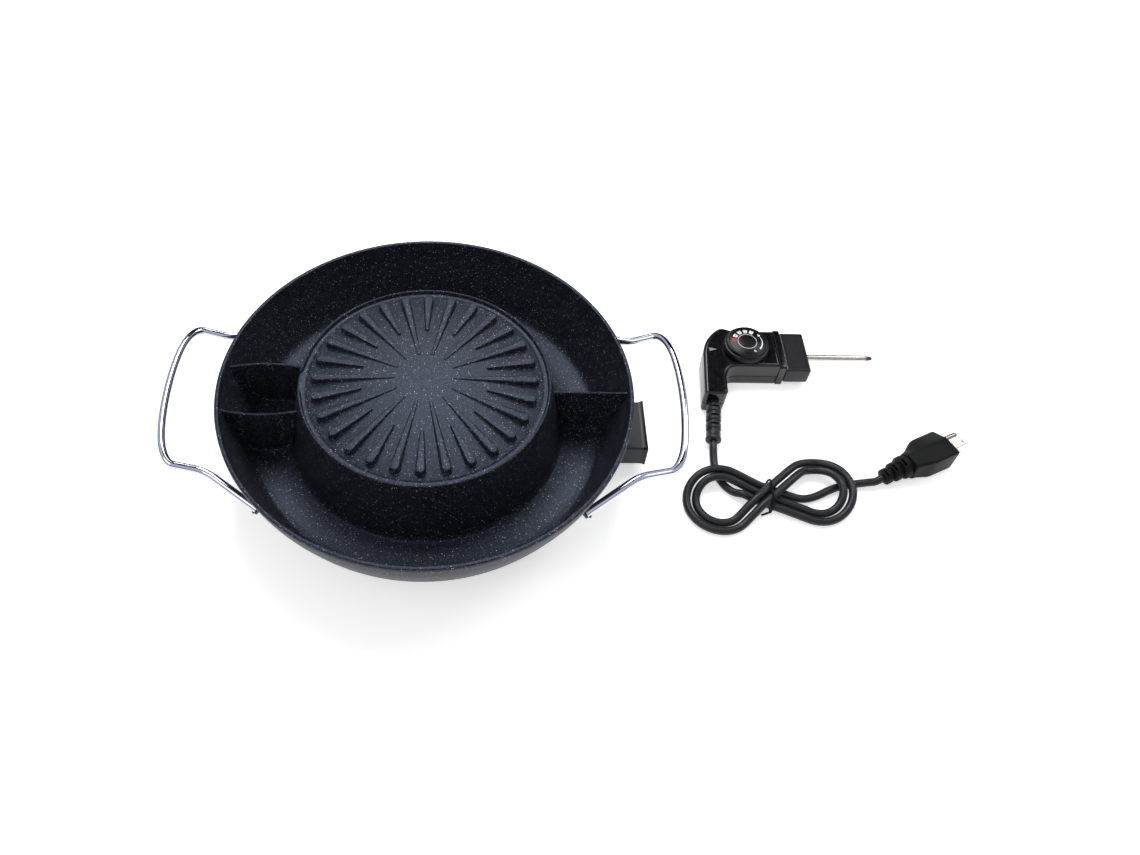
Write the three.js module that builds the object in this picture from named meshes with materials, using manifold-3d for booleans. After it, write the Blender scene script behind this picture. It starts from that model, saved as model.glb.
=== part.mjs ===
// Electric hot pot and grill: a cast pan with a soup moat round a raised ribbed plate,
// and its loose temperature control with probe, dial, mains lead and plug.
// Millimetres, +Z up, table at Z = 0. The pan is built round its own axis, and the last
// lines move the whole set so that the origin is under the middle of its length.

import * as THREE from "three";
import { mergeVertices } from "three/addons/utils/BufferGeometryUtils.js";
import Module from "manifold-3d";

const wasm = await Module();
wasm.setup();

// Driving dimensions

const fitGap = 0.3; // between pieces that touch
const overrun = 2; // how far a cut runs past the face it opens
const bite = 1; // how far joined solids run into each other
const mergeDistance = 1e-4;
const sharpestTurn = 0.5; // limits the stretch of a line moved sideways round a corner

const pan = {
  rimRadius: 180, rimHeight: 86, rimWidth: 3.5, rimRound: 0.8, rimEdge: 3,
  wall: 3.3, floorHeight: 28, wallRun: 28.5, moatWidth: 21, facets: 54,
};
const plateau = {
  footRun: 7.8, footFillet: 10, shoulderRun: 8, shoulderDrop: 6, lipSet: 1.2, lipWidth: 7, lipHeight: 5.1,
  domeSet: 1.5, domeEdge: 2.4, domeHeight: 10, spoutWidth: 14,
};
const rib = {
  count: 28, endSet: 3.8, outerWidth: 8, innerWidth: 3.4, longStart: 26, shortStart: 55,
  topAtCentre: 10.6, topAtEnd: 9.2, endSteps: 3,
};
const divider = { drop: 8, thickness: 2.4, pairSpread: 24.3, bow: 4, topSteps: 6 };
const handle = {
  wire: 7, bowOut: 45.8, cornerOut: 33.1, cornerSpread: 74.9, kneeOut: 2.2, kneeSpread: 74.7,
  endIn: 6.2, endDegrees: 37.166, cornerCut: 14, kneeCut: 10, steps: 46, sides: 8,
  cornerShare: 0.269, gripShare: 0.1241, kneeShare: 0.467, endShare: 0.638,
};
const lug = { radius: 5.6, length: 4.5, capLength: 2.5, screwRadius: 1.3, screwLength: 4 };
const foot = {
  set: 11, radius: 12, topRadius: 10.4, recessRadius: 4.8, recessDepth: 6,
  bossRadius: 5.6, bossDrop: 10,
};
const screw = { radius: 2, headRadius: 3.8, headHeight: 2.6, facets: 8 };
const facets = { foot: 18, round: 12 };
const element = {
  radius: 3.8, ringSet: 29.5, steps: 60, sides: 6, bend: 14, ease: 1.6, ringSteps: 16, plateRoom: 0.7,
  slotRoom: 3.5,
};
const shield = {
  innerSet: 55.5, outerSet: 9.5, thickness: 1.2, screwSet: 49.5, bossRadius: 4.6, skirt: 3, screwDepth: 6,
  facets: 36,
};
const socket = {
  axisHeight: 20, wall: 2.2, backOut: 15, backWall: 5, length: 35, flare: 1.2, flareDepth: 4,
  earOffset: 34, earSet: 13, earRadius: 5.5, earThickness: 4, earBossDrop: 4, clearance: 0.7,
};
const pin = { radius: 2.4, spread: 16, reach: 25, insulatorLength: 4.4 };
const guide = {
  bore: 3.6, radius: 4.3, inner: 51, mouth: 7, saddleStart: 47, saddleEnd: 23, saddleWidth: 17,
};
const head = { width: 48, height: 18, length: 24, chamfer: 1.2, tongue: 3 };
const probe = {
  radius: 3.2, bore: 1.9, reach: 66, tipLength: 7, tipRadius: 1.7, inside: 44, rodOverhang: 6,
  nutRadius: 6.6, nutLength: 5,
};
const clip = { radius: 3.6, bore: 2.7, length: 18, backset: 1.6 };
const earthSpring = { radius: 5, length: 5, backset: 3 };
const innerWire = { radius: 1.1, steps: 16, sides: 6, apart: 3.4 };
const thermostat = {
  baseLength: 30, baseWidth: 16, baseHeight: 7, armThickness: 0.8, armWidth: 6, armLift: 2, postWidth: 6,
  contactRadius: 2.2,
};
const control = {
  standOff: 110.2, aside: 98, ridgeWidth: 6, ridgeOverhang: 1.6, thickness: 28, wall: 2.2, split: 12,
  facets: 4, bodyHalf: 22.8, bossSet: 14.5, dialX: -31, edgeRound: 2.2,
  stemLeft: -77.4, stemRight: -55.2, stemEnd: -57, stemTopLeft: -69.6, stemTopRight: -53,
  cornerRadius: 5, fillet: 14,
};
const dial = { radius: 21.6, faceRadius: 18.8, skirtHeight: 5.4, height: 8.6, flutes: 28, flute: 0.7 };
const spindle = { radius: 3, collarRadius: 5, collarHeight: 1.6, socketDepth: 4.5 };
const relief = {
  start: [-66.6, -57, 13], end: [-71.6, -98, 8], neckRadius: 5.2, neckLength: 4, flangeRadius: 7,
  flangeLength: 2, flangeSet: 1.5,
  ringRadius: 7, grooveRadius: 5.6, endRadius: 7.1, rings: 4, facets: 12, wireGap: 0.9,
};
const ringShares = [0.08, 0.62, 0.7]; // of the pitch: where a ring starts, ends, and meets its groove
const cord = { radius: 3.6, tableGap: 0.1, sides: 8, hankSides: 6, leadSteps: 20, tailSteps: 23 };
const hank = {
  centre: [-29.6, -156], tiltDegrees: 8, lobeReach: 44.4, lobeRadius: 23.6, laneStep: 8.3, turns: 2,
  startBefore: 14, endAfter: 12, crossingLift: 8.2, tieLift: 1.3, ramp: 40, stepsPerLobe: 24, endSteps: 4,
  gapSamples: 900,
  tailShiftDegrees: 14, tailHalf: 4, crossBack: 9, crossHalf: 18, leadHalf: 3, underHalf: 10,
};
const tie = {
  width: 2.6, thickness: 0.9, play: 0.45, cornerCut: 1.5, cornerSteps: 3, tailRadius: 1.2, tailLength: 15,
  tailDegrees: 217,
};
const plug = {
  start: [75.6, -136.2], turnDegrees: 25.8, axisHeight: 12.9, bootLength: 27, bootDrop: 5,
  bootRadius: 9.4, bootEndRadius: 5.2, bodyLength: 42, shoulder: 16, faceWidth: 33, faceHeight: 25,
  pinOffset: 7.9, bladeOffset: -4, bladeSpread: 6.35, bladeWidth: 6.35, bladeThickness: 1.5,
  bladeLength: 17.6, groundRadius: 2.4, groundLength: 21.4, pocket: 5, bladeHole: 1.6, holeShare: 0.78,
  bootRings: 3, ringShare: 0.72, ringRise: 0.8, grooveDepth: 1.3, neckStep: 1.5, cornerCut: 4,
  edgeCut: 3, cornerSteps: 2,
};
const cheekShares = [0.35, 0.1]; // of the plug's half height and half width left beside the ground pin

// Materials

const finish = (color, roughness, metalness) => new THREE.MeshStandardMaterial(
  { color, roughness, metalness });
const nonStick = finish(0x23252c, 0.45, 0.2);
const chrome = finish(0xd8dade, 0.12, 1);
const phenolic = finish(0x18181a, 0.55, 0);
const glossBlack = finish(0x0b0b0c, 0.15, 0);
const stainless = finish(0xb9b6b0, 0.3, 1);
const zincSteel = finish(0xa9abad, 0.4, 1);
const brass = finish(0xb8943f, 0.35, 1);
const nickel = finish(0xd3cdc8, 0.28, 1);
const ceramic = finish(0xe6e1d6, 0.6, 0);
const sheath = finish(0x6d6e70, 0.5, 0.9);
const rubber = finish(0x2b2b2f, 0.6, 0);
const plugVinyl = finish(0x151516, 0.5, 0);
const wireRed = finish(0x9a2a22, 0.5, 0);
const wireWhite = finish(0xdedbd2, 0.5, 0);
const wireGreen = finish(0x3b7d3f, 0.5, 0);

// Small tools: solids from three.js geometry, joined and cut

function toSolid(geometry) {
  const bare = new THREE.BufferGeometry();
  bare.setAttribute("position", geometry.getAttribute("position").clone());
  if (geometry.index) bare.setIndex(geometry.index.clone());
  const merged = mergeVertices(bare, mergeDistance);
  const corners = merged.index.array;
  const kept = [];
  for (let i = 0; i < corners.length; i += 3) {
    const [a, b, c] = [corners[i], corners[i + 1], corners[i + 2]];
    if (a !== b && b !== c && c !== a) kept.push(a, b, c);
  }
  const vertProperties = new Float32Array(merged.attributes.position.array);
  return new wasm.Manifold(new wasm.Mesh({ numProp: 3, vertProperties, triVerts: new Uint32Array(kept) }));
}

function toGeometry(solid) {
  const mesh = solid.getMesh();
  const geometry = new THREE.BufferGeometry();
  geometry.setAttribute("position", new THREE.BufferAttribute(new Float32Array(mesh.vertProperties), 3));
  geometry.setIndex(new THREE.BufferAttribute(new Uint32Array(mesh.triVerts), 1));
  geometry.computeVertexNormals();
  return geometry;
}

const joined = (...solids) => solids.flat().reduce((sum, solid) => sum.add(solid));
const cutBy = (solid, ...tools) => tools.flat().reduce((rest, tool) => rest.subtract(tool), solid);

// A profile of [radius, height] pairs turned round the Z axis.
function turned(profile, sides) {
  const points = profile.map(([radius, height]) => new THREE.Vector2(radius, height));
  return toSolid(new THREE.LatheGeometry(points, sides, Math.PI / sides).rotateX(Math.PI / 2));
}

// A plan outline of [x, y] pairs raised from one height to another.
function raised(outline, bottom, top) {
  const shape = new THREE.Shape(outline.map(([x, y]) => new THREE.Vector2(x, y)));
  const geometry = new THREE.ExtrudeGeometry(shape, { depth: top - bottom, bevelEnabled: false });
  return toSolid(geometry.translate(0, 0, bottom));
}

function box(from, to) {
  const size = to.map((end, i) => end - from[i]);
  const middle = to.map((end, i) => (end + from[i]) / 2);
  return toSolid(new THREE.BoxGeometry(...size).translate(...middle));
}

// A round bar between two points; a second radius makes it taper.
function bar(from, to, radius, sides, endRadius = radius) {
  const start = new THREE.Vector3(...from);
  const run = new THREE.Vector3(...to).sub(start);
  const geometry = new THREE.CylinderGeometry(endRadius, radius, run.length(), sides);
  const turn = new THREE.Quaternion().setFromUnitVectors(
    new THREE.Vector3(0, 1, 0), run.clone().normalize());
  geometry.applyQuaternion(turn).translate(...start.addScaledVector(run, 0.5).toArray());
  return toSolid(geometry);
}

function polygon(radius, sides) {
  const corner = (k) => (2 * Math.PI * (k + 0.5)) / sides;
  return Array.from(
    { length: sides }, (_, k) => [radius * Math.cos(corner(k)), radius * Math.sin(corner(k))]);
}

function tube(curve, radius, steps, sides) {
  const section = new THREE.Shape(polygon(radius, sides).map(([x, y]) => new THREE.Vector2(x, y)));
  return toSolid(new THREE.ExtrudeGeometry(section, { steps, bevelEnabled: false, extrudePath: curve }));
}

const routeThrough = (points) => new THREE.CatmullRomCurve3(
  points.map((p) => new THREE.Vector3(...p)), false, "centripetal");

// An open line moved sideways by a distance, to its right as it is walked.
function beside(line, distance) {
  return line.map(([x, y], i) => {
    const before = line[Math.max(i - 1, 0)];
    const after = line[Math.min(i + 1, line.length - 1)];
    const incoming = new THREE.Vector2(x - before[0], y - before[1]).normalize();
    const outgoing = new THREE.Vector2(after[0] - x, after[1] - y).normalize();
    const along = incoming.clone().add(outgoing).normalize();
    const reference = incoming.lengthSq() > 0 ? incoming : outgoing;
    const stretch = distance / Math.max(along.dot(reference), sharpestTurn);
    return [x + along.y * stretch, y - along.x * stretch];
  });
}

// The same for a closed outline walked anticlockwise; a positive inset shrinks it.
function inset(outline, distance) {
  const count = outline.length;
  return outline.map(([x, y], i) => {
    const before = outline[(i + count - 1) % count];
    const after = outline[(i + 1) % count];
    const incoming = new THREE.Vector2(x - before[0], y - before[1]).normalize();
    const outgoing = new THREE.Vector2(after[0] - x, after[1] - y).normalize();
    const along = incoming.clone().add(outgoing).normalize();
    const stretch = distance / Math.max(along.dot(incoming), sharpestTurn);
    return [x - along.y * stretch, y + along.x * stretch];
  });
}

// Replaces each corner of an outline by an arc that starts and ends cut away from it.
function rounded(corners, steps) {
  const count = corners.length;
  return corners.flatMap(([x, y, cut = 0], i) => {
    if (cut === 0) return [[x, y]];
    const corner = new THREE.Vector2(x, y);
    const towards = (other) => new THREE.Vector2(other[0], other[1]).sub(corner).setLength(cut).add(corner);
    const start = towards(corners[(i + count - 1) % count]);
    const end = towards(corners[(i + 1) % count]);
    return new THREE.QuadraticBezierCurve(start, corner, end).getPoints(steps).map((p) => [p.x, p.y]);
  });
}

const rectangle = (x0, y0, x1, y1, cut = 0) => [[x0, y0, cut], [x1, y0, cut], [x1, y1, cut], [x0, y1, cut]];

const assembly = new THREE.Group();
const panGroup = new THREE.Group();
const controlGroup = new THREE.Group();
const cordGroup = new THREE.Group();
assembly.add(panGroup, controlGroup, cordGroup);

function addPiece(group, name, solid, material) {
  const mesh = new THREE.Mesh(toGeometry(solid), material);
  mesh.name = name;
  group.add(mesh);
}

// Like pieces get one name and a number each.
const addSet = (group, name, solids, material) => solids.forEach(
  (solid, i) => addPiece(group, `${name}_${i + 1}`, solid, material));

// Levels that many pieces share

const moatFloor = pan.floorHeight;
const moatDepth = pan.rimHeight - moatFloor;
const underside = moatFloor - pan.wall;
const rimInner = pan.rimRadius - pan.rimWidth;
const moatOuter = rimInner - pan.wallRun;
const moatInner = moatOuter - pan.moatWidth;
const footRadius = moatInner - plateau.footRun;
const shoulderRadius = footRadius - plateau.shoulderRun;
const lipOuter = shoulderRadius - plateau.lipSet;
const lipInner = lipOuter - plateau.lipWidth;
const domeRadius = lipInner - plateau.domeSet;
const ribEnd = domeRadius - rib.endSet;
const ringRadius = domeRadius - element.ringSet;
const shieldInner = domeRadius - shield.innerSet;
const shieldOuter = domeRadius - shield.outerSet;
const shieldCircle = domeRadius - shield.screwSet;
const footCircle = moatOuter - foot.set;
const socketBack = moatOuter + socket.backOut;
const socketMouth = socketBack + socket.length;
const earReach = socketBack - socket.earSet;
const saddleStart = socketBack - guide.saddleStart;
const saddleEnd = socketBack - guide.saddleEnd;
const guideInner = socketBack - guide.inner;
const guideMouth = socketBack + guide.mouth;
const degrees = Math.PI / 180;
const around = (radius, angle) => [radius * Math.cos(angle), radius * Math.sin(angle)];
const bothSides = [-1, 1];

// Cast pan

// Shares of the way from the rim to the moat floor: inwards, downwards.
const wallShares = [[0.046, 0.138], [0.13, 0.31], [0.326, 0.569], [0.593, 0.862], [0.74, 0.96], [1, 1]];
// Shares of the plateau's foot fillet: inwards, upwards.
const footShares = [[0, 0], [0.53, 0.14], [0.82, 0.48], [1, 1]];
// Shares of the lip, from its outer edge inwards, upwards.
const lipShares = [[0.12, 0.7], [0.34, 1], [0.6, 1], [0.83, 0.74]];
const domeSteps = 4;

const innerWall = wallShares.map(([inwards, down]) => [
  rimInner - inwards * (rimInner - moatOuter), pan.rimHeight - down * moatDepth]);
const plateauFoot = footShares.map(([inwards, up]) => [
  moatInner - inwards * (moatInner - footRadius), moatFloor + up * plateau.footFillet]);
const shoulder = [shoulderRadius, pan.rimHeight - plateau.shoulderDrop];

function domeHeightAt(radius) {
  const rise = plateau.domeHeight - plateau.domeEdge;
  return pan.rimHeight + plateau.domeHeight - rise * (radius / domeRadius) ** 2;
}

function ribTopAt(radius) {
  return pan.rimHeight + THREE.MathUtils.lerp(rib.topAtCentre, rib.topAtEnd, radius / ribEnd);
}

const domeLine = Array.from({ length: domeSteps + 1 }, (_, k) => {
  const radius = domeRadius * (1 - k / domeSteps);
  return [radius, domeHeightAt(radius)];
});

function panProfile() {
  const outerWall = beside(innerWall, -pan.wall).reverse();
  const lip = lipShares.map(([inwards, up]) => [
    lipOuter - inwards * (lipOuter - lipInner),
    pan.rimHeight + up * plateau.lipHeight]);
  const plainTop = [
    ...plateauFoot, shoulder, [lipOuter - pan.wall / 2, pan.rimHeight - pan.wall / 2], ...domeLine];
  const hollow = beside(plainTop, -pan.wall).reverse();
  hollow[0][0] = 0;
  const rimLine = [
    [pan.rimRadius, pan.rimHeight - pan.rimEdge], [pan.rimRadius, pan.rimHeight - pan.rimRound],
    [pan.rimRadius - pan.rimRound, pan.rimHeight], [rimInner + pan.rimRound, pan.rimHeight],
    [rimInner, pan.rimHeight - pan.rimRound]];
  return [
    ...hollow, ...outerWall, ...rimLine, ...innerWall, ...plateauFoot, shoulder,
    [lipOuter, pan.rimHeight], ...lip, ...domeLine];
}

function grillRib(index) {
  const start = index % 2 === 0 ? rib.shortStart : rib.longStart;
  const tip = ribEnd - rib.outerWidth / 2;
  const roundEnd = Array.from({ length: rib.endSteps + 1 }, (_, k) => {
    const angle = Math.PI * (k / rib.endSteps - 0.5);
    return [tip + (Math.cos(angle) * rib.outerWidth) / 2, (Math.sin(angle) * rib.outerWidth) / 2];
  });
  const outline = [[start, -rib.innerWidth / 2], ...roundEnd, [start, rib.innerWidth / 2]];
  const shape = new THREE.Shape(outline.map(([x, y]) => new THREE.Vector2(x, y)));
  const geometry = new THREE.ExtrudeGeometry(shape, { depth: 1, bevelEnabled: false });
  const places = geometry.getAttribute("position");
  for (let i = 0; i < places.count; i += 1) {
    const radius = places.getX(i);
    const low = domeHeightAt(radius) - pan.wall / 2;
    places.setZ(i, places.getZ(i) > 0 ? ribTopAt(radius) : low);
  }
  const turn = Math.PI / 2 + (index * 2 * Math.PI) / rib.count;
  return toSolid(geometry.rotateZ(turn));
}

// The line halfway through the casting's wall, from the plateau across the moat to the rim.
const moatMiddle = beside(
  [[rimInner, pan.rimHeight], ...innerWall, ...plateauFoot, shoulder], -pan.wall / 2);

function dividerWall(side, offset, bow) {
  const top = pan.rimHeight - divider.drop;
  const below = moatMiddle.filter(([, height]) => height < top);
  const reachAt = (height, [r0, h0], [r1, h1]) => r0 + ((r1 - r0) * (height - h0)) / (h1 - h0);
  const first = moatMiddle.findIndex(([, height]) => height < top);
  const outer = reachAt(top, moatMiddle[first - 1], moatMiddle[first]);
  const inner = reachAt(top, moatMiddle[moatMiddle.length - 1], below[below.length - 1]);
  const along = (radius) => Math.sqrt(radius ** 2 - offset ** 2);
  const bottomLine = below.map(([radius, height]) => [along(radius), height]);
  const topLine = Array.from({ length: divider.topSteps + 1 }, (_, k) => [
    THREE.MathUtils.lerp(along(inner), along(outer), k / divider.topSteps), top]);
  const shape = new THREE.Shape([...bottomLine, ...topLine].map(([x, y]) => new THREE.Vector2(x, y)));
  const geometry = new THREE.ExtrudeGeometry(shape, { depth: divider.thickness, bevelEnabled: false });
  geometry.translate(0, 0, -divider.thickness / 2).rotateX(Math.PI / 2);
  const places = geometry.getAttribute("position");
  const middle = (along(inner) + along(outer)) / 2;
  const half = along(outer) - middle;
  for (let i = 0; i < places.count; i += 1) {
    const sweep = bow * (1 - ((places.getX(i) - middle) / half) ** 2);
    places.setXYZ(i, places.getX(i), places.getY(i) + offset + sweep, places.getZ(i));
  }
  return toSolid(side > 0 ? geometry : geometry.rotateZ(Math.PI));
}

const handleSpots = {
  bow: [pan.rimRadius + handle.bowOut, handle.cornerSpread / 2, handle.gripShare],
  corner: [pan.rimRadius + handle.cornerOut, handle.cornerSpread, handle.cornerShare],
  knee: [pan.rimRadius + handle.kneeOut, handle.kneeSpread, handle.kneeShare],
  tip: [...around(pan.rimRadius - handle.endIn, handle.endDegrees * degrees), handle.endShare],
};
const quarterTurns = [0.5, 1.5, 2.5, 3.5].map((quarters) => (quarters * Math.PI) / 2);

const shieldTop = domeHeightAt(ringRadius) - pan.wall - 2 * element.radius - 2 * fitGap
  - element.plateRoom;
const shieldScrewEnd = shieldTop + shield.screwDepth;
const elementHeight = shieldTop + element.radius + fitGap;
const footBossEnd = underside - foot.bossDrop;
const earTop = underside - socket.earBossDrop - fitGap;
const headHalf = head.width / 2 + socket.clearance;
const headRise = head.height / 2 + socket.clearance;

// A spot is its reach, its spread and its share of the moat's depth below the rim.
function handlePoint(side, end, [reach, spread, share]) {
  return new THREE.Vector3(side * reach, end * spread, pan.rimHeight - share * moatDepth);
}

// A lug holds each end of the handle wire; its axis follows the wire's last run.
function lugLine(side, end) {
  const tip = handlePoint(side, end, handleSpots.tip);
  const knee = handlePoint(side, end, handleSpots.knee);
  const inwards = tip.clone().sub(knee).normalize();
  return { tip, inwards };
}

function handleLug(side, end) {
  const { tip, inwards } = lugLine(side, end);
  const mouth = tip.clone().addScaledVector(inwards, -lug.length);
  const back = tip.clone().addScaledVector(inwards, lug.capLength);
  return bar(mouth.toArray(), back.toArray(), lug.radius, facets.round);
}

function lugBores(side, end) {
  const { tip, inwards } = lugLine(side, end);
  const mouth = tip.clone().addScaledVector(inwards, -lug.length - overrun);
  const stop = tip.clone().addScaledVector(inwards, fitGap);
  const middle = tip.clone().addScaledVector(inwards, -lug.length / 2);
  const below = middle.clone();
  below.z -= lug.radius + overrun;
  return [
    bar(mouth.toArray(), stop.toArray(), handle.wire / 2 + fitGap, facets.round),
    bar(below.toArray(), middle.toArray(), lug.screwRadius + fitGap, screw.facets)];
}

const handleEnds = bothSides.flatMap((side) => bothSides.map((end) => [side, end]));

function castPan() {
  const ribs = Array.from({ length: rib.count }, (_, index) => grillRib(index));
  const dividers = [
    dividerWall(1, 0, 0), dividerWall(-1, divider.pairSpread, divider.bow),
    dividerWall(-1, -divider.pairSpread, -divider.bow)];
  const footBosses = quarterTurns.map((angle) => {
    const [x, y] = around(footCircle, angle);
    return bar([x, y, footBossEnd], [x, y, underside + pan.wall / 2], foot.bossRadius, facets.round);
  });
  const shieldBosses = quarterTurns.map((angle) => {
    const [x, y] = around(shieldCircle, angle);
    const rootHeight = domeHeightAt(shieldCircle) - pan.wall / 2;
    return bar([x, y, shieldTop + fitGap], [x, y, rootHeight], shield.bossRadius, facets.round);
  });
  const earBosses = bothSides.map((side) => {
    const place = [earReach, side * socket.earOffset];
    return bar([...place, earTop + fitGap], [...place, moatFloor], socket.earRadius, facets.round);
  });
  const saddle = box(
    [saddleStart, -guide.saddleWidth / 2, socket.axisHeight - guide.radius],
    [saddleEnd, guide.saddleWidth / 2, underside + pan.wall / 2]);
  const lugs = handleEnds.map(([side, end]) => handleLug(side, end));
  const solid = joined(
    turned(panProfile(), pan.facets), ribs, dividers, footBosses, shieldBosses, earBosses, saddle, lugs);
  const spout = box(
    [-lipOuter - overrun, -plateau.spoutWidth / 2, pan.rimHeight + plateau.domeEdge],
    [-domeRadius, plateau.spoutWidth / 2, pan.rimHeight + plateau.lipHeight + overrun]);
  const footHoles = quarterTurns.map((angle) => {
    const [x, y] = around(footCircle, angle);
    return bar([x, y, footBossEnd - overrun], [x, y, underside], screw.radius + fitGap, screw.facets);
  });
  const shieldHoles = quarterTurns.map((angle) => {
    const [x, y] = around(shieldCircle, angle);
    return bar(
      [x, y, shieldTop - overrun], [x, y, shieldScrewEnd + fitGap], screw.radius + fitGap, screw.facets);
  });
  const earHoles = bothSides.map((side) => {
    const place = [earReach, side * socket.earOffset];
    return bar(
      [...place, earTop - overrun], [...place, underside + fitGap], screw.radius + fitGap, screw.facets);
  });
  const guideBore = bar(
    [saddleStart - overrun, 0, socket.axisHeight], [saddleEnd + overrun, 0, socket.axisHeight],
    guide.radius + fitGap, facets.round);
  return cutBy(
    solid, spout, footHoles, shieldHoles, earHoles, guideBore,
    handleEnds.flatMap(([side, end]) => lugBores(side, end)));
}

// A pan-head screw driven upwards: its head lies under the given height.
function screwUp(x, y, headTop, end) {
  return joined(
    bar([x, y, headTop - screw.headHeight], [x, y, headTop], screw.headRadius, screw.facets),
    bar([x, y, headTop - screw.headHeight / 2], [x, y, end], screw.radius, screw.facets));
}

// Feet

function footBody(angle) {
  const [x, y] = around(footCircle, angle);
  const top = underside - fitGap;
  const body = bar([x, y, 0], [x, y, top], foot.radius, facets.foot, foot.topRadius);
  return cutBy(
    body,
    bar([x, y, footBossEnd - fitGap], [x, y, top + overrun], foot.bossRadius + fitGap, facets.round),
    bar([x, y, -overrun], [x, y, top], screw.radius + fitGap, screw.facets),
    bar([x, y, -overrun], [x, y, foot.recessDepth], foot.recessRadius, screw.facets));
}

// Handles

function handleWire(side) {
  const half = (end) => Object.fromEntries(
    Object.entries(handleSpots).map(([name, spot]) => [name, handlePoint(side, end, spot)]));
  const from = (point, towards, distance) => towards.clone().sub(point).setLength(distance).add(point);
  const leg = (end) => {
    const { bow, corner, knee, tip } = half(end);
    const gripEnd = from(corner, bow, handle.cornerCut);
    const legStart = from(corner, knee, handle.cornerCut / 2);
    const kneeStart = from(knee, corner, handle.kneeCut);
    const kneeEnd = from(knee, tip, handle.kneeCut);
    return [
      new THREE.QuadraticBezierCurve3(gripEnd, corner, legStart), new THREE.LineCurve3(legStart, kneeStart),
      new THREE.QuadraticBezierCurve3(kneeStart, knee, kneeEnd), new THREE.LineCurve3(kneeEnd, tip)];
  };
  const reversed = (curve) => (curve.isLineCurve3
    ? new THREE.LineCurve3(curve.v2, curve.v1)
    : new THREE.QuadraticBezierCurve3(curve.v2, curve.v1, curve.v0));
  const first = leg(-1);
  const last = leg(1);
  const grip = new THREE.CubicBezierCurve3(first[0].v0, half(-1).bow, half(1).bow, last[0].v0);
  const path = new THREE.CurvePath();
  path.curves = [...first.map(reversed).reverse(), grip, ...last];
  return tube(path, handle.wire / 2, handle.steps, handle.sides);
}

function setScrews() {
  return handleEnds.map(([side, end]) => {
    const { tip, inwards } = lugLine(side, end);
    const middle = tip.clone().addScaledVector(inwards, -lug.length / 2);
    const top = middle.z - handle.wire / 2 - fitGap;
    return bar(
      [middle.x, middle.y, top - lug.screwLength], [middle.x, middle.y, top], lug.screwRadius, screw.facets);
  });
}

// Heating element: an open ring under the plate, with two legs that run out to the pins

const pinStart = socketBack - fitGap - pin.insulatorLength;

function heatingElement() {
  const gap = Math.asin(pin.spread / ringRadius);
  const dropX = ringRadius * Math.cos(gap);
  const legPoints = (side) => [
    [pinStart - fitGap, side * pin.spread, socket.axisHeight],
    [pinStart - element.bend, side * pin.spread, socket.axisHeight],
    [dropX + 2 * element.bend, side * pin.spread, socket.axisHeight],
    [dropX + element.bend, side * pin.spread, socket.axisHeight],
    [dropX + element.bend / 4, side * pin.spread, socket.axisHeight + element.bend / 4],
    [dropX, side * pin.spread, socket.axisHeight + element.bend],
    [dropX, side * pin.spread, elementHeight - 2 * element.bend],
    [dropX, side * pin.spread, elementHeight - element.bend]];
  const startAngle = gap + element.bend / ringRadius;
  const ring = Array.from({ length: element.ringSteps + 1 }, (_, k) => {
    const angle = THREE.MathUtils.lerp(startAngle, 2 * Math.PI - startAngle, k / element.ringSteps);
    const ease = k % element.ringSteps === 0 ? element.ease : 0;
    return [...around(ringRadius, angle), elementHeight - ease];
  });
  return tube(
    routeThrough([...legPoints(1), ...ring, ...legPoints(-1).reverse()]), element.radius, element.steps,
    element.sides);
}

function heatShield() {
  const bottom = shieldTop - shield.thickness;
  const plate = turned([
    [shieldInner, bottom], [shieldOuter, bottom], [shieldOuter, shieldTop + shield.skirt],
    [shieldOuter - shield.thickness, shieldTop + shield.skirt], [
      shieldOuter - shield.thickness, shieldTop],
    [shieldInner, shieldTop], [shieldInner, bottom]], shield.facets);
  const legRoom = element.radius + element.slotRoom;
  const slots = bothSides.map((side) => {
    const edges = [
      side * (pin.spread - legRoom), side * (pin.spread + legRoom + element.bend)].sort((a, b) => a - b);
    return box(
      [ringRadius - element.bend, edges[0], bottom - overrun],
      [shieldOuter + overrun, edges[1], shieldTop + shield.skirt + overrun]);
  });
  const holes = quarterTurns.map((angle) => {
    const [x, y] = around(shieldCircle, angle);
    return bar([x, y, bottom - overrun], [x, y, shieldTop + overrun], screw.radius + fitGap, screw.facets);
  });
  return cutBy(plate, slots, holes);
}

// Socket for the control: housing, pins, insulators and the tube that guides the probe

const housingHalf = headHalf + socket.wall;
const housingRise = headRise + socket.wall;

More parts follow.
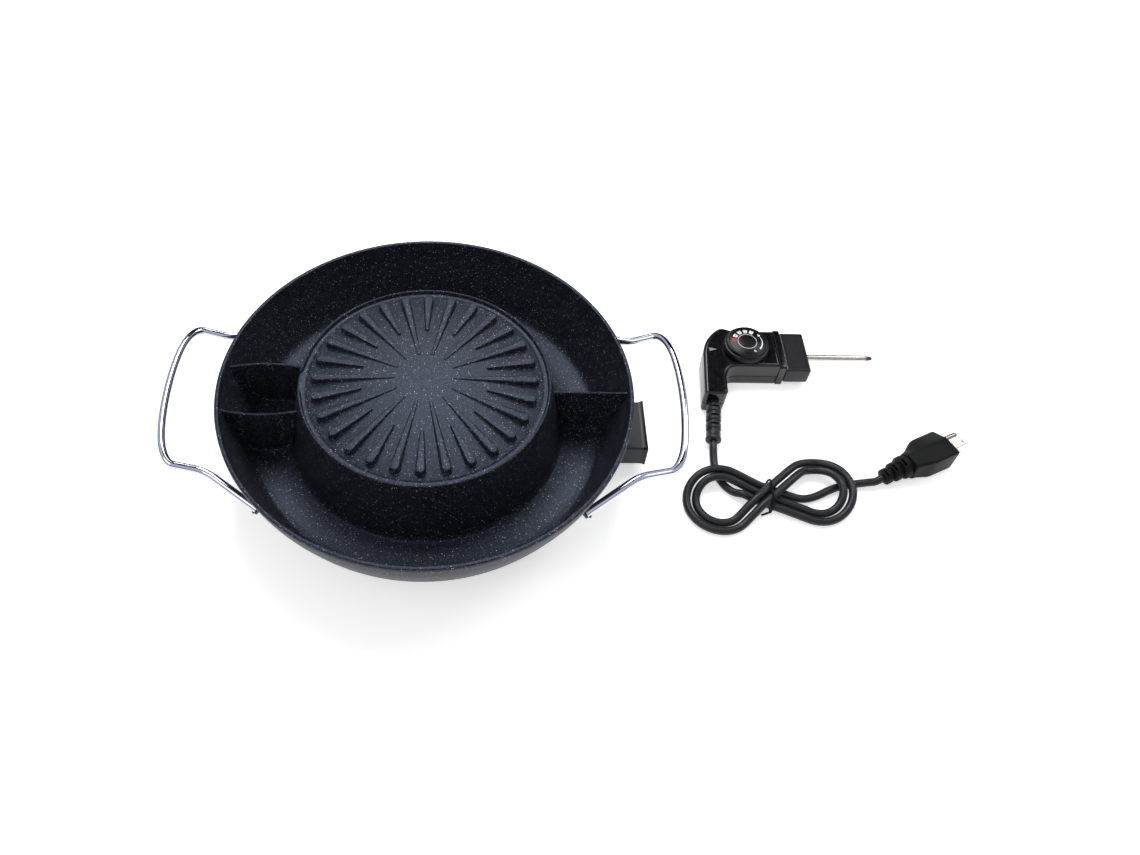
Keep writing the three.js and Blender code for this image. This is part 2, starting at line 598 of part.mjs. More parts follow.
function terminalHousing() {
  const low = socket.axisHeight;
  const body = box(
    [socketBack, -housingHalf, low - housingRise], [socketMouth, housingHalf, low + housingRise]);
  const flare = box(
    [socketMouth - socket.flareDepth, -housingHalf - socket.flare, low - housingRise],
    [socketMouth, housingHalf + socket.flare, low + housingRise + socket.flare]);
  const ears = bothSides.map((side) => {
    const place = [earReach, side * socket.earOffset];
    const tab = box(
      [
        earReach, side > 0 ? housingHalf - socket.wall : -socket.earOffset - socket.earRadius,
        earTop - socket.earThickness],
      [socketBack + socket.backWall, side > 0 ? socket.earOffset + socket.earRadius : socket.wall
        - housingHalf, earTop]);
    return joined(
      tab, bar([...place, earTop - socket.earThickness], [...place, earTop], socket.earRadius, facets.round));
  });
  const cavity = box(
    [socketBack + socket.backWall, -headHalf, low - headRise],
    [socketMouth + overrun, headHalf, low + headRise]);
  const pinHoles = bothSides.map((side) => bar(
    [socketBack - overrun, side * pin.spread, low], [
      socketBack + socket.backWall + overrun, side * pin.spread, low],
    pin.radius + fitGap, facets.round));
  const guideHole = bar(
    [socketBack - overrun, 0, low], [socketBack + socket.backWall + overrun, 0, low],
    guide.radius + fitGap, facets.round);
  const earHoles = bothSides.map((side) => {
    const place = [earReach, side * socket.earOffset];
    return bar(
      [...place, earTop - socket.earThickness - overrun], [...place, earTop + overrun],
      screw.radius + fitGap, screw.facets);
  });
  return cutBy(joined(body, flare, ears), cavity, pinHoles, guideHole, earHoles);
}

const pinPair = (start, end, radius) => bothSides.map((side) => bar(
  [start, side * pin.spread, socket.axisHeight], [end, side * pin.spread, socket.axisHeight], radius,
  facets.round));

function pinInsulators() {
  const beads = pinPair(pinStart, socketBack - fitGap, element.radius);
  const bores = pinPair(pinStart - overrun, socketBack + overrun, pin.radius + fitGap);
  return beads.map((bead, i) => cutBy(bead, bores[i]));
}

function guideTube() {
  const axis = socket.axisHeight;
  return cutBy(
    bar([guideInner, 0, axis], [guideMouth, 0, axis], guide.radius, facets.round),
    bar(
      [guideInner + fitGap + guide.radius - guide.bore, 0, axis], [guideMouth + overrun, 0, axis], guide.bore,
      facets.round));
}

// Control: an L-shaped case with the dial above and the head and probe to the right

// It is built from the middle of its ridge, and put in its place by its group.
const ridgeX = 0;
const axisY = 0;
const probeAxis = control.thickness / 2;
const headStart = ridgeX + control.ridgeWidth;
const headEnd = headStart + head.length;
const bodyTop = axisY + control.bodyHalf;
const bodyLow = axisY - control.bodyHalf;

const caseOutline = rounded([
  [ridgeX, bodyLow], [ridgeX, bodyTop],
  [control.dialX, bodyTop],
  [control.stemTopLeft, bodyTop, 2 * control.fillet], [
    control.stemLeft, control.stemEnd, control.cornerRadius],
  [control.stemRight, control.stemEnd, control.cornerRadius],
  [control.stemTopRight, bodyLow, control.fillet]], control.facets);

const ridgeOutline = rounded(rectangle(
  ridgeX, bodyLow - control.ridgeOverhang, headStart, bodyTop + control.ridgeOverhang,
  control.ridgeOverhang), 1);

function caseBlank(bottom, top) {
  const ridgeLow = Math.max(bottom, control.ridgeOverhang);
  const ridgeHigh = Math.min(top, control.thickness - control.ridgeOverhang);
  return joined(raised(caseOutline, bottom, top), raised(ridgeOutline, ridgeLow, ridgeHigh));
}

const caseBossRadius = screw.radius + control.wall;
const bossInset = caseBossRadius + control.wall / 2;
const caseScrews = [
  [control.stemRight - bossInset + control.wall, bodyLow - control.fillet],
  [ridgeX - control.bossSet, bodyTop - bossInset],
  [ridgeX - control.bossSet, bodyLow + bossInset]];

const headShaft = { low: probeAxis - head.height / 2, high: probeAxis + head.height / 2 };
const reliefStart = new THREE.Vector3(...relief.start);
const reliefRun = new THREE.Vector3(...relief.end).sub(reliefStart);
const reliefAlong = reliefRun.clone().normalize();
const reliefTail = control.wall + relief.flangeSet + relief.flangeLength;
const reliefPoint = (distance) => reliefStart.clone().addScaledVector(reliefAlong, distance).toArray();

function caseCuts() {
  const tongueRoom = head.chamfer - fitGap;
  const headRoom = box(
    [
      headStart - head.tongue - fitGap, axisY - head.width / 2 + tongueRoom,
      headShaft.low + tongueRoom],
    [headStart + overrun, axisY + head.width / 2 - tongueRoom, headShaft.high - tongueRoom]);
  const reliefHole = bar(
    reliefPoint(-2 * control.wall), reliefPoint(2 * control.wall), relief.neckRadius + fitGap, relief.facets);
  const throughWall = (y, radius) => bar(
    [ridgeX - 2 * control.wall, y, probeAxis], [headStart, y, probeAxis], radius, facets.round);
  const wireHoles = bothSides.map(
    (side) => throughWall(axisY + side * pin.spread, innerWire.radius + fitGap));
  return [headRoom, reliefHole, throughWall(axisY, probe.radius + fitGap), ...wireHoles];
}

function caseLower() {
  const bottom = caseBlank(0, control.split - fitGap);
  const room = raised(inset(caseOutline, control.wall), control.wall, control.split + overrun);
  const bosses = caseScrews.map(
    ([x, y]) => bar([x, y, control.wall / 2], [x, y, control.split - fitGap], caseBossRadius, screw.facets));
  const holes = caseScrews.map(([x, y]) => joined(
    bar([x, y, -overrun], [x, y, control.split + overrun], screw.radius + fitGap, screw.facets),
    bar([x, y, -overrun], [x, y, screw.headHeight + 2 * fitGap], screw.headRadius + fitGap, screw.facets)));
  return cutBy(joined(cutBy(bottom, room), bosses), holes, caseCuts());
}

function caseUpper() {
  const top = cutBy(caseBlank(control.split, control.thickness), edgeRelief());
  const room = raised(
    inset(caseOutline, control.wall), control.split - overrun, control.thickness - control.wall);
  const bosses = caseScrews.map(([x, y]) => bar(
    [x, y, control.split], [x, y, control.thickness - control.wall / 2], caseBossRadius, screw.facets));
  const holes = caseScrews.map(([x, y]) => bar(
    [x, y, control.split - overrun], [x, y, caseScrewEnd + fitGap], screw.radius + fitGap, screw.facets));
  const spindleHole = bar(
    [control.dialX, axisY, control.split], [
      control.dialX, axisY, control.thickness + overrun],
    spindle.radius + fitGap, facets.round);
  return cutBy(joined(cutBy(top, room), bosses), holes, spindleHole, caseCuts());
}

// Takes the top edge of the case back to a bevel.
function edgeRelief() {
  const outer = inset(caseOutline, -overrun);
  const inner = inset(caseOutline, control.edgeRound / 2);
  const step = control.thickness - control.edgeRound / 2;
  return cutBy(
    raised(outer, step, control.thickness + overrun),
    raised(inner, step - overrun, control.thickness + 2 * overrun));
}

const caseScrewEnd = control.thickness - 2 * control.wall;

function terminalHead() {
  const y0 = axisY - head.width / 2;
  const y1 = axisY + head.width / 2;
  const start = headStart + fitGap;
  const body = box([start, y0, headShaft.low], [headEnd, y1, headShaft.high]);
  const tongue = box(
    [start - head.tongue, y0 + head.chamfer, headShaft.low + head.chamfer],
    [start + overrun, y1 - head.chamfer, headShaft.high - head.chamfer]);
  const axis = probeAxis;
  const probeHole = bar(
    [start - head.tongue - overrun, axisY, axis], [headEnd + overrun, axisY, axis],
    probe.radius + fitGap, facets.round);
  const slots = bothSides.map((side) => {
    const y = axisY + side * pin.spread;
    return joined(
      bar(
        [headEnd - clip.length - 2 * fitGap, y, axis], [headEnd - clip.backset, y, axis],
        clip.radius + fitGap, facets.round),
      bar(
        [headEnd - clip.length, y, axis], [headEnd + overrun, y, axis], pin.radius + fitGap, facets.round),
      bar([start - head.tongue - overrun, y, axis], [headEnd - clip.length, y, axis], innerWire.radius
        + fitGap, facets.round));
  });
  return cutBy(joined(body, tongue), probeHole, slots, springRoom());
}

const springEnds = [headEnd - earthSpring.backset - earthSpring.length, headEnd - earthSpring.backset];
const springRoom = () => bar(
  [springEnds[0] - fitGap, axisY, probeAxis], [springEnds[1] + fitGap, axisY, probeAxis],
  earthSpring.radius + fitGap, facets.round);

function earthRing() {
  const axis = [axisY, probeAxis];
  return cutBy(
    bar([springEnds[0], ...axis], [springEnds[1], ...axis], earthSpring.radius, facets.round),
    bar([springEnds[0] - overrun, ...axis], [springEnds[1] + overrun, ...axis], probe.radius
      + fitGap, facets.round));
}

function contactClip(side) {
  const y = axisY + side * pin.spread;
  const axis = probeAxis;
  const from = headEnd - clip.length;
  const to = headEnd - clip.backset - fitGap;
  const sleeve = bar([from - fitGap, y, axis], [to, y, axis], clip.radius, facets.round);
  const bore = bar([from + clip.backset, y, axis], [to + overrun, y, axis], clip.bore, facets.round);
  const slit = box(
    [from + 2 * clip.backset, y - fitGap, axis], [to + overrun, y + fitGap, axis + clip.radius + overrun]);
  return cutBy(sleeve, bore, slit);
}

function probeTube() {
  const axis = probeAxis;
  const y = axisY;
  const tip = headEnd + probe.reach;
  const start = tip - probe.reach - probe.inside;
  const sleeve = joined(
    bar([start, y, axis], [tip - probe.tipLength, y, axis], probe.radius, facets.round),
    bar([tip - probe.tipLength, y, axis], [tip, y, axis], probe.radius, facets.round, probe.tipRadius));
  return cutBy(
    sleeve, bar([start - overrun, y, axis], [tip - probe.tipLength, y, axis], probe.bore, facets.round));
}

const probeStart = headEnd - probe.inside;

function expansionRod() {
  const axis = [axisY, probeAxis];
  return bar(
    [probeStart - probe.rodOverhang, ...axis], [headEnd + probe.reach - probe.tipLength - fitGap, ...axis],
    probe.bore - fitGap, screw.facets);
}

function probeNut() {
  const axis = [axisY, probeAxis];
  const from = ridgeX - control.wall - fitGap - probe.nutLength;
  return cutBy(
    bar([from, ...axis], [from + probe.nutLength, ...axis], probe.nutRadius, 6),
    bar([from - overrun, ...axis], [from + probe.nutLength + overrun, ...axis], probe.radius
      + fitGap, facets.round));
}

// Thermostat: a base, a spring arm over it that the rod and the spindle both press, and its contact

const thermostatEnd = probeStart - probe.rodOverhang - fitGap;
const baseFrom = [
  thermostatEnd - thermostat.baseLength, axisY - thermostat.baseWidth / 2, control.wall + fitGap];
const baseTop = baseFrom[2] + thermostat.baseHeight;

function thermostatBase() {
  const plate = box(baseFrom, [thermostatEnd, axisY + thermostat.baseWidth / 2, baseTop]);
  const post = box(
    [baseFrom[0], baseFrom[1], baseTop - bite],
    [baseFrom[0] + thermostat.postWidth, baseFrom[1] + thermostat.baseWidth, baseTop + thermostat.armLift]);
  return joined(plate, post);
}

function thermostatArm() {
  const low = baseTop + thermostat.armLift + fitGap;
  const y0 = axisY - thermostat.armWidth / 2;
  const y1 = axisY + thermostat.armWidth / 2;
  const strip = box([baseFrom[0], y0, low], [thermostatEnd, y1, low + thermostat.armThickness]);
  const tab = box(
    [thermostatEnd - thermostat.armThickness, y0, low], [thermostatEnd, y1, probeAxis + probe.radius]);
  const stud = bar(
    [thermostatEnd - thermostat.postWidth, axisY, baseTop + fitGap],
    [thermostatEnd - thermostat.postWidth, axisY, low + thermostat.armThickness / 2],
    thermostat.contactRadius, screw.facets);
  return joined(strip, tab, stud);
}

const armTop = baseTop + thermostat.armLift + fitGap + thermostat.armThickness;

// Dial and its spindle

const dialBottom = control.thickness + 2 * fitGap;
const dialTop = dialBottom + dial.height;

function camSpindle() {
  const place = [control.dialX, axisY];
  const collarTop = control.thickness - control.wall - fitGap;
  const stem = joined(
    bar(
      [...place, armTop + fitGap], [...place, dialTop - spindle.socketDepth / 2], spindle.radius,
      facets.round),
    bar(
      [...place, collarTop - spindle.collarHeight], [...place, collarTop], spindle.collarRadius,
      facets.round));
  const slot = box(
    [
      control.dialX - spindle.radius - overrun, axisY + spindle.radius / 2,
      control.thickness + overrun],
    [control.dialX + spindle.radius + overrun, axisY + spindle.radius + overrun, dialTop + overrun]);
  return cutBy(stem, slot);
}

function dialKnob() {
  const place = [control.dialX, axisY];
  const outline = Array.from({ length: 2 * dial.flutes }, (_, k) => {
    const radius = k % 2 === 0 ? dial.radius : dial.radius - dial.flute;
    const [x, y] = around(radius, (k * Math.PI) / dial.flutes);
    return [control.dialX + x, axisY + y];
  });
  const skirt = raised(outline, dialBottom, dialBottom + dial.skirtHeight);
  const face = bar(
    [...place, dialBottom + dial.skirtHeight / 2], [...place, dialTop], dial.faceRadius + dial.flute,
    2 * dial.flutes, dial.faceRadius);
  const bore = bar(
    [...place, dialBottom - overrun], [...place, dialTop - spindle.socketDepth / 2 + fitGap],
    spindle.radius + fitGap, facets.round);
  return cutBy(joined(skirt, face), bore);
}

// Strain relief, ribbed, turned along its own axis and then laid along the cord

function strainRelief() {
  const length = reliefRun.length();
  const pitch = (length - relief.neckLength) / relief.rings;
  const profile = [[0, -reliefTail], [relief.flangeRadius, -reliefTail],
    [relief.flangeRadius, relief.flangeLength - reliefTail], [
      relief.neckRadius, relief.flangeLength - reliefTail],
    [relief.neckRadius, relief.neckLength]];
  for (let k = 0; k < relief.rings; k += 1) {
    const start = relief.neckLength + k * pitch;
    const radius = k === relief.rings - 1 ? relief.endRadius : relief.ringRadius;
    const [ringStart, ringStop, grooveStart] = ringShares.map((share) => start + pitch * share);
    profile.push([radius, ringStart], [radius, ringStop]);
    if (k < relief.rings - 1) profile.push(
      [relief.grooveRadius, grooveStart], [relief.grooveRadius, start + pitch]);
  }
  profile.push([relief.grooveRadius, length], [0, length]);
  const points = profile.map(([radius, height]) => new THREE.Vector2(radius, height));
  const geometry = new THREE.LatheGeometry(points, relief.facets);
  const turn = new THREE.Quaternion().setFromUnitVectors(new THREE.Vector3(0, 1, 0), reliefAlong);
  return toSolid(geometry.applyQuaternion(turn).translate(...relief.start));
}

// Conductors inside the case, from the relief's flange to the head and the thermostat

const flangeEnd = reliefStart.clone().addScaledVector(reliefAlong, -reliefTail - relief.wireGap);
const acrossFlange = new THREE.Vector3(-reliefAlong.y, reliefAlong.x, 0).normalize();

const wireThrough = (points) => tube(
  routeThrough(points), innerWire.radius, innerWire.steps, innerWire.sides);
const fromFlange = (side, points) => wireThrough([
  flangeEnd.clone().addScaledVector(acrossFlange, side * innerWire.apart).toArray(), ...points]);

// Cord: a lead from the relief, a figure-eight hank, and a tail to the plug

const restHeight = cord.radius + cord.tableGap;
const tilt = hank.tiltDegrees * degrees;
const crossAngle = Math.asin(hank.lobeRadius / hank.lobeReach);
const straightRun = Math.sqrt(hank.lobeReach ** 2 - hank.lobeRadius ** 2);
const arcTurn = Math.PI + 2 * crossAngle;
const lobeLength = 2 * straightRun + hank.lobeRadius * arcTurn;
const turnLength = 2 * lobeLength;

// Place and heading on the middle line of the eight, by distance from a crossing.
function onEight(distance) {
  const lobes = Math.floor(distance / lobeLength);
  const along = distance - lobes * lobeLength;
  const side = ((lobes % 2) + 2) % 2 === 0 ? 1 : -1; // right lobe anticlockwise, left lobe clockwise
  const start = tilt + (side > 0 ? -crossAngle : Math.PI + crossAngle);
  const forward = [Math.cos(start), Math.sin(start)];
  const bend = Math.min(Math.max(along - straightRun, 0) / hank.lobeRadius, arcTurn);
  const heading = start + side * bend;
  const before = Math.min(along, straightRun);
  const after = Math.max(along - straightRun - hank.lobeRadius * arcTurn, 0);
  const centre = [
    forward[0] * straightRun - side * forward[1] * hank.lobeRadius,
    forward[1] * straightRun + side * forward[0] * hank.lobeRadius];
  const onArc = [
    centre[0] + side * Math.sin(heading) * hank.lobeRadius,
    centre[1] - side * Math.cos(heading) * hank.lobeRadius];
  const base = along < straightRun ? [forward[0] * before, forward[1] * before] : onArc;
  return { x: base[0] + Math.cos(heading) * after, y: base[1] + Math.sin(heading) * after, heading };
}

// Where in each turn the cord lies over or under another strand: middle, half length.
const overTail = [
  straightRun + hank.lobeRadius * (arcTurn / 2 + hank.tailShiftDegrees * degrees), hank.tailHalf];
const overCross = [lobeLength - hank.crossBack, hank.crossHalf];
const overLead = [turnLength - straightRun - hank.lobeRadius * (crossAngle - tilt), hank.leadHalf];
const underCross = [0, hank.underHalf];

function raisedShare(distance, [middle, half]) {
  const away = Math.max(Math.abs(distance - middle) - half, 0);
  return away >= hank.ramp ? 0 : (1 + Math.cos((Math.PI * away) / hank.ramp)) / 2;
}

function liftAt(distance) {
  let open = 1;
  let low = 1;
  for (let turn = -1; turn <= hank.turns + 1; turn += 1) {
    const within = distance - turn * turnLength;
    open *= (1 - raisedShare(within, overTail)) * (
      1 - raisedShare(within, overCross)) * (1 - raisedShare(within, overLead));
    low *= (1 - raisedShare(within, underCross)) * (1 - raisedShare(within, overCross));
  }
  return hank.crossingLift * (1 - open) + hank.tieLift * (1 - low);
}

function hankPoint(distance) {
  const { x, y, heading } = onEight(distance);
  const lane = hank.laneStep * (distance / turnLength - hank.turns / 2);
  return new THREE.Vector3(
    hank.centre[0] + x - Math.sin(heading) * lane, hank.centre[1] + y + Math.cos(heading) * lane,
    restHeight + liftAt(distance));
}

const hankFrom = -hank.startBefore;
const hankTo = hank.turns * turnLength + hank.endAfter;

class HankCurve extends THREE.Curve {
  getPoint(share, target = new THREE.Vector3()) {
    return target.copy(hankPoint(THREE.MathUtils.lerp(hankFrom, hankTo, share)));
  }
}

function leastGap(points, diameter) {
  let least = Infinity;
  const step = points[0].distanceTo(points[1]);
  const skip = Math.ceil((3 * diameter) / step);
  for (let i = 0; i < points.length; i += 1) {
    for (
      let j = i + skip; j < points.length; j += 1) least = Math.min(least, points[i].distanceTo(points[j]));
  }
  return least - diameter;
}

const hankCurve = new HankCurve();
const hankStart = hankPoint(hankFrom);
const hankEnd = hankPoint(hankTo);
const leaving = hankPoint(hankTo).sub(hankPoint(hankTo - 1)).normalize();
const entering = hankPoint(hankFrom + 1).sub(hankStart).normalize();
const hankGap = leastGap(hankCurve.getSpacedPoints(hank.gapSamples), 2 * cord.radius);
console.log(
  `hank: length ${hankCurve.getLength().toFixed(1)} mm, least gap to itself ${hankGap.toFixed(2)} mm`);

const shifted = (point, direction, distance) => point.clone().addScaledVector(direction, distance).toArray();
const reliefMouth = new THREE.Vector3(...relief.end);

// Chosen by hand: down out of the relief, under the hank's left loop and round to its start.
const leadRoute = [
  shifted(reliefMouth, reliefAlong, fitGap), shifted(reliefMouth, reliefAlong, 2 * cord.radius),
  [-73, -113.5, 5.1], [-73.1, -121, 3.9], [-72.5, -129, restHeight], [-70.2, -138, restHeight],
  [-66, -145.3, restHeight], [-60, -151, 4.1],
  shifted(hankStart, entering, -2 * cord.radius), shifted(hankStart, entering, -fitGap)];

const plugTurn = plug.turnDegrees * degrees;
const plugAlong = new THREE.Vector3(Math.cos(plugTurn), Math.sin(plugTurn), 0);
const plugStart = new THREE.Vector3(...plug.start, plug.axisHeight - plug.bootDrop);
const bootAlong = plugAlong.clone().multiplyScalar(plug.bootLength).setZ(plug.bootDrop).normalize();

// Chosen by hand: out of the hank, under its right loop and along the table to the plug.
const tailRoute = [
  shifted(hankEnd, leaving, fitGap), shifted(hankEnd, leaving, 2 * cord.radius),
  [-0.5, -157.3, 4], [8, -156, restHeight], [16.5, -152.6, restHeight], [25, -148.2, restHeight],
  [34, -144.3, restHeight], [43.5, -141.6, restHeight], [53, -140.4, 4.2], [61, -140, 5.6],
  shifted(plugStart, bootAlong, -2 * cord.radius), shifted(plugStart, bootAlong, -fitGap)];

const leadCurve = routeThrough(leadRoute);
const tailCurve = routeThrough(tailRoute);
console.log(
  `cord: lead ${leadCurve.getLength().toFixed(1)} mm, tail ${tailCurve.getLength().toFixed(1)} mm`);

// Twist tie: a flat band round the crossing, and its twisted end

function cordTie() {
  const under = cord.radius / Math.cos(tilt - crossAngle) + hank.laneStep / Math.cos(tilt - crossAngle)
    + tie.play;
  const over = cord.radius / Math.cos(tilt + crossAngle) + hank.laneStep / 2 / Math.cos(tilt + crossAngle)
    + tie.play;
  const low = restHeight + hank.tieLift - cord.radius - tie.play + tie.thickness / 2;
  const waist = restHeight + hank.tieLift + cord.radius;
  const high = restHeight + hank.tieLift + hank.crossingLift + cord.radius + tie.play;
  const cut = cord.radius;
  const inner = [
    [under, low, tie.cornerCut], [under, waist, cut], [over, high, cut], [-over, high, cut],
    [-under, waist, cut],
    [-under, low, tie.cornerCut]];
  const insideLine = rounded(inner, tie.cornerSteps);
  const outsideLine = inset(insideLine, -tie.thickness);
  const lay = (outline, width) => {
    const shape = new THREE.Shape(outline.map(([y, z]) => new THREE.Vector2(y, z)));
    const geometry = new THREE.ExtrudeGeometry(shape, { depth: width, bevelEnabled: false });
    geometry.translate(0, 0, -width / 2).rotateX(Math.PI / 2).rotateZ(Math.PI / 2);
    return toSolid(geometry.translate(hank.centre[0], hank.centre[1], 0));
  };
  const band = cutBy(lay(outsideLine, tie.width), lay(insideLine, tie.width + 2 * overrun));
  const tailFrom = [
    hank.centre[0], hank.centre[1] - under - tie.thickness / 2, tie.tailRadius + cord.tableGap];
  const [tailX, tailY] = around(tie.tailLength, tie.tailDegrees * degrees);
  const tailTo = [tailFrom[0] + tailX, tailFrom[1] + tailY, tailFrom[2]];
  return joined(band, bar(tailFrom, tailTo, tie.tailRadius, cord.sides));
}

// Plug: ribbed boot, flared body, two flat blades and a round ground pin, lying on its side

function inPlugFrame(solid) {
  return solid.rotate([0, 0, plug.turnDegrees]).translate([plug.start[0], plug.start[1], 0]);
}

const plugFace = plug.bootLength + plug.bodyLength;
const plugMiddle = (plug.pinOffset + plug.bladeOffset) / 2;

function plugBody() {
  const boot = [];
  const pitch = plug.bootLength / plug.bootRings;
  const centre = (distance) => [
    distance, 0, THREE.MathUtils.lerp(plugStart.z, plug.axisHeight, distance / plug.bootLength)];
  for (let k = 0; k < plug.bootRings; k += 1) {
    const from = k * pitch;
    const radius = THREE.MathUtils.lerp(
      plug.bootEndRadius, plug.bootRadius, (k + 1) / plug.bootRings) + plug.ringRise;
    boot.push(bar(centre(from), centre(from + pitch * plug.ringShare), radius, relief.facets));
    boot.push(bar(centre(from), centre(from + pitch + bite), radius - plug.grooveDepth, relief.facets));
  }
  const halfWide = plug.faceWidth / 2;
  const halfHigh = plug.faceHeight / 2;
  const neck = plug.bootRadius + plug.neckStep;
  const shoulder = plug.bootLength + plug.shoulder;
  const plan = rounded([
    [plug.bootLength, -neck], [shoulder, plugMiddle - halfWide, plug.cornerCut],
    [plugFace, plugMiddle - halfWide], [plugFace, plugMiddle + halfWide],
    [shoulder, plugMiddle + halfWide, plug.cornerCut], [plug.bootLength, neck]], plug.cornerSteps);
  const block = raised(plan, plug.axisHeight - halfHigh, plug.axisHeight + halfHigh);
  const side = rounded([
    [plug.bootLength - bite, -neck], [shoulder, -halfHigh, plug.edgeCut], [plugFace + bite, -halfHigh],
    [plugFace + bite, halfHigh], [shoulder, halfHigh, plug.edgeCut],
    [plug.bootLength - bite, neck]], plug.cornerSteps);
  const sideShape = new THREE.Shape(side.map(([x, z]) => new THREE.Vector2(x, z)));
  const slab = new THREE.ExtrudeGeometry(sideShape, { depth: 2 * plug.faceWidth, bevelEnabled: false });
  slab.translate(0, 0, -plug.faceWidth).rotateX(Math.PI / 2).translate(0, 0, plug.axisHeight);
  // The corners beside the ground pin are cut back, as on a housing that narrows to its earth side.
  const cheek = (up) => {
    const farSide = plugMiddle + halfWide + overrun;
    const outline = [
      [farSide, up * (halfHigh + overrun)], [farSide, up * halfHigh * cheekShares[0]],
      [plugMiddle + halfWide * cheekShares[1], up * (halfHigh + overrun)]];
    const shape = new THREE.Shape(outline.map(([y, z]) => new THREE.Vector2(y, z)));
    const wedge = new THREE.ExtrudeGeometry(shape, { depth: plugFace, bevelEnabled: false });
    wedge.rotateX(Math.PI / 2).rotateZ(Math.PI / 2).translate(
      plug.bootLength + overrun, 0, plug.axisHeight);
    return toSolid(wedge);
  };
  const body = cutBy(block.intersect(toSolid(slab)), cheek(1), cheek(-1));
  const pockets = [...bladeBoxes(fitGap), groundBar(fitGap)];
  return inPlugFrame(cutBy(joined(body, boot), pockets));
}

function bladeBoxes(grow) {
  return bothSides.map((side) => {
    const z = plug.axisHeight + side * plug.bladeSpread;
    return box(
      [
        plugFace - plug.pocket - grow, plug.bladeOffset - plug.bladeWidth / 2 - grow,
        z - plug.bladeThickness / 2 - grow],
      [plugFace + plug.bladeLength, plug.bladeOffset + plug.bladeWidth / 2 + grow, z
        + plug.bladeThickness / 2 + grow]);
  });
}

function groundBar(grow) {
  return bar(
    [plugFace - plug.pocket - grow, plug.pinOffset, plug.axisHeight],
    [plugFace + plug.groundLength, plug.pinOffset, plug.axisHeight], plug.groundRadius + grow, facets.round);
}

function plugBlades() {
  return bladeBoxes(0).map((blade, i) => {
    const z = plug.axisHeight + bothSides[i] * plug.bladeSpread;
    const place = [plugFace + plug.bladeLength * plug.holeShare, plug.bladeOffset];
    const hole = bar([...place, z - overrun], [...place, z + overrun], plug.bladeHole, screw.facets);
    return inPlugFrame(cutBy(blade, hole));
  });
}

// Pan pieces

addPiece(panGroup, "pan_casting", castPan(), nonStick);
addPiece(panGroup, "handle_left", handleWire(-1), chrome);
addPiece(panGroup, "handle_right", handleWire(1), chrome);
addSet(panGroup, "handle_set_screw", setScrews(), zincSteel);
const footNames = ["foot_rear_right", "foot_rear_left", "foot_front_left", "foot_front_right"];
quarterTurns.forEach((angle, i) => addPiece(panGroup, footNames[i], footBody(angle), phenolic));
addSet(panGroup, "foot_screw", quarterTurns.map((angle) => screwUp(
  ...around(footCircle, angle), foot.recessDepth - fitGap, underside - fitGap)), zincSteel);
addPiece(panGroup, "heating_element", heatingElement(), sheath);
addPiece(panGroup, "heat_shield", heatShield(), zincSteel);
addSet(panGroup, "shield_screw", quarterTurns.map((angle) => screwUp(
  ...around(shieldCircle, angle), shieldTop - shield.thickness - fitGap, shieldScrewEnd)), zincSteel);
addPiece(panGroup, "terminal_housing", terminalHousing(), phenolic);
addSet(panGroup, "housing_screw", bothSides.map((side) => screwUp(
  earReach, side * socket.earOffset, earTop - socket.earThickness - fitGap, underside)), zincSteel);
addSet(panGroup, "terminal_pin", pinPair(pinStart, socketBack + pin.reach, pin.radius), nickel);
addSet(panGroup, "pin_insulator", pinInsulators(), ceramic);
addPiece(panGroup, "probe_guide_tube", guideTube(), stainless);

// Control pieces

addPiece(controlGroup, "case_lower", caseLower(), glossBlack);
addPiece(controlGroup, "case_upper", caseUpper(), glossBlack);
addSet(
  controlGroup, "case_screw",
  caseScrews.map(([x, y]) => screwUp(x, y, screw.headHeight + fitGap, caseScrewEnd)), zincSteel);
addPiece(controlGroup, "terminal_head", terminalHead(), glossBlack);
addPiece(controlGroup, "contact_clip_live", contactClip(-1), brass);
addPiece(controlGroup, "contact_clip_neutral", contactClip(1), brass);
addPiece(controlGroup, "earth_ring", earthRing(), nickel);
addPiece(controlGroup, "probe_tube", probeTube(), stainless);
addPiece(controlGroup, "expansion_rod", expansionRod(), zincSteel);
addPiece(controlGroup, "probe_nut", probeNut(), brass);
addPiece(controlGroup, "thermostat_base", thermostatBase(), ceramic);
addPiece(controlGroup, "thermostat_arm", thermostatArm(), brass);
addPiece(controlGroup, "cam_spindle", camSpindle(), brass);
addPiece(controlGroup, "dial", dialKnob(), glossBlack);
addPiece(controlGroup, "strain_relief", strainRelief(), rubber);

const clipBack = headEnd - clip.length - 2 * fitGap;
const beforeWall = ridgeX - 2 * control.wall - bite;
const straightIn = (y) => [[beforeWall, y, probeAxis], [headStart, y, probeAxis], [clipBack, y, probeAxis]];
const liveY = axisY - pin.spread;
const neutralY = axisY + pin.spread;
const contactX = thermostatEnd - thermostat.postWidth;

// Points chosen by hand, round the screw bosses and the thermostat.
const neutralWay = [
  [-68.5, -42, 16], [-68, -30, 18], [-65, -14, 20], [-59, 2, 21], [-48, 14, 21], [-32, 17, 20],
  [-23, 12.5, 17], [-15, 9.5, 15], [-9.5, 13.5, 14]];
const liveWayIn = [
  [-65.5, -43, 11], [-65.7, -34, 8.5], [-64, -22, 6.5], [-61, -11, 6], [-56.5, -3, 6], [-53.5, 0, 6]];
const liveWayOut = [
  [-25.6, -11.4, 6.4], [-22.6, -12.8, 8.2], [-19, -12.4, 11], [-13.5, -11, 13], [-8.8, -14.1, 14]];
const earthWay = [
  [-66.8, -42, 20], [-64.5, -28, 22.5], [-58, -12, 23], [-49, 2, 22], [-39, 9, 20], [-27, 9, 18],
  [-17, 4.5, 17.5], [-13, 3.5, 17], [-8, 3.5, 17]];

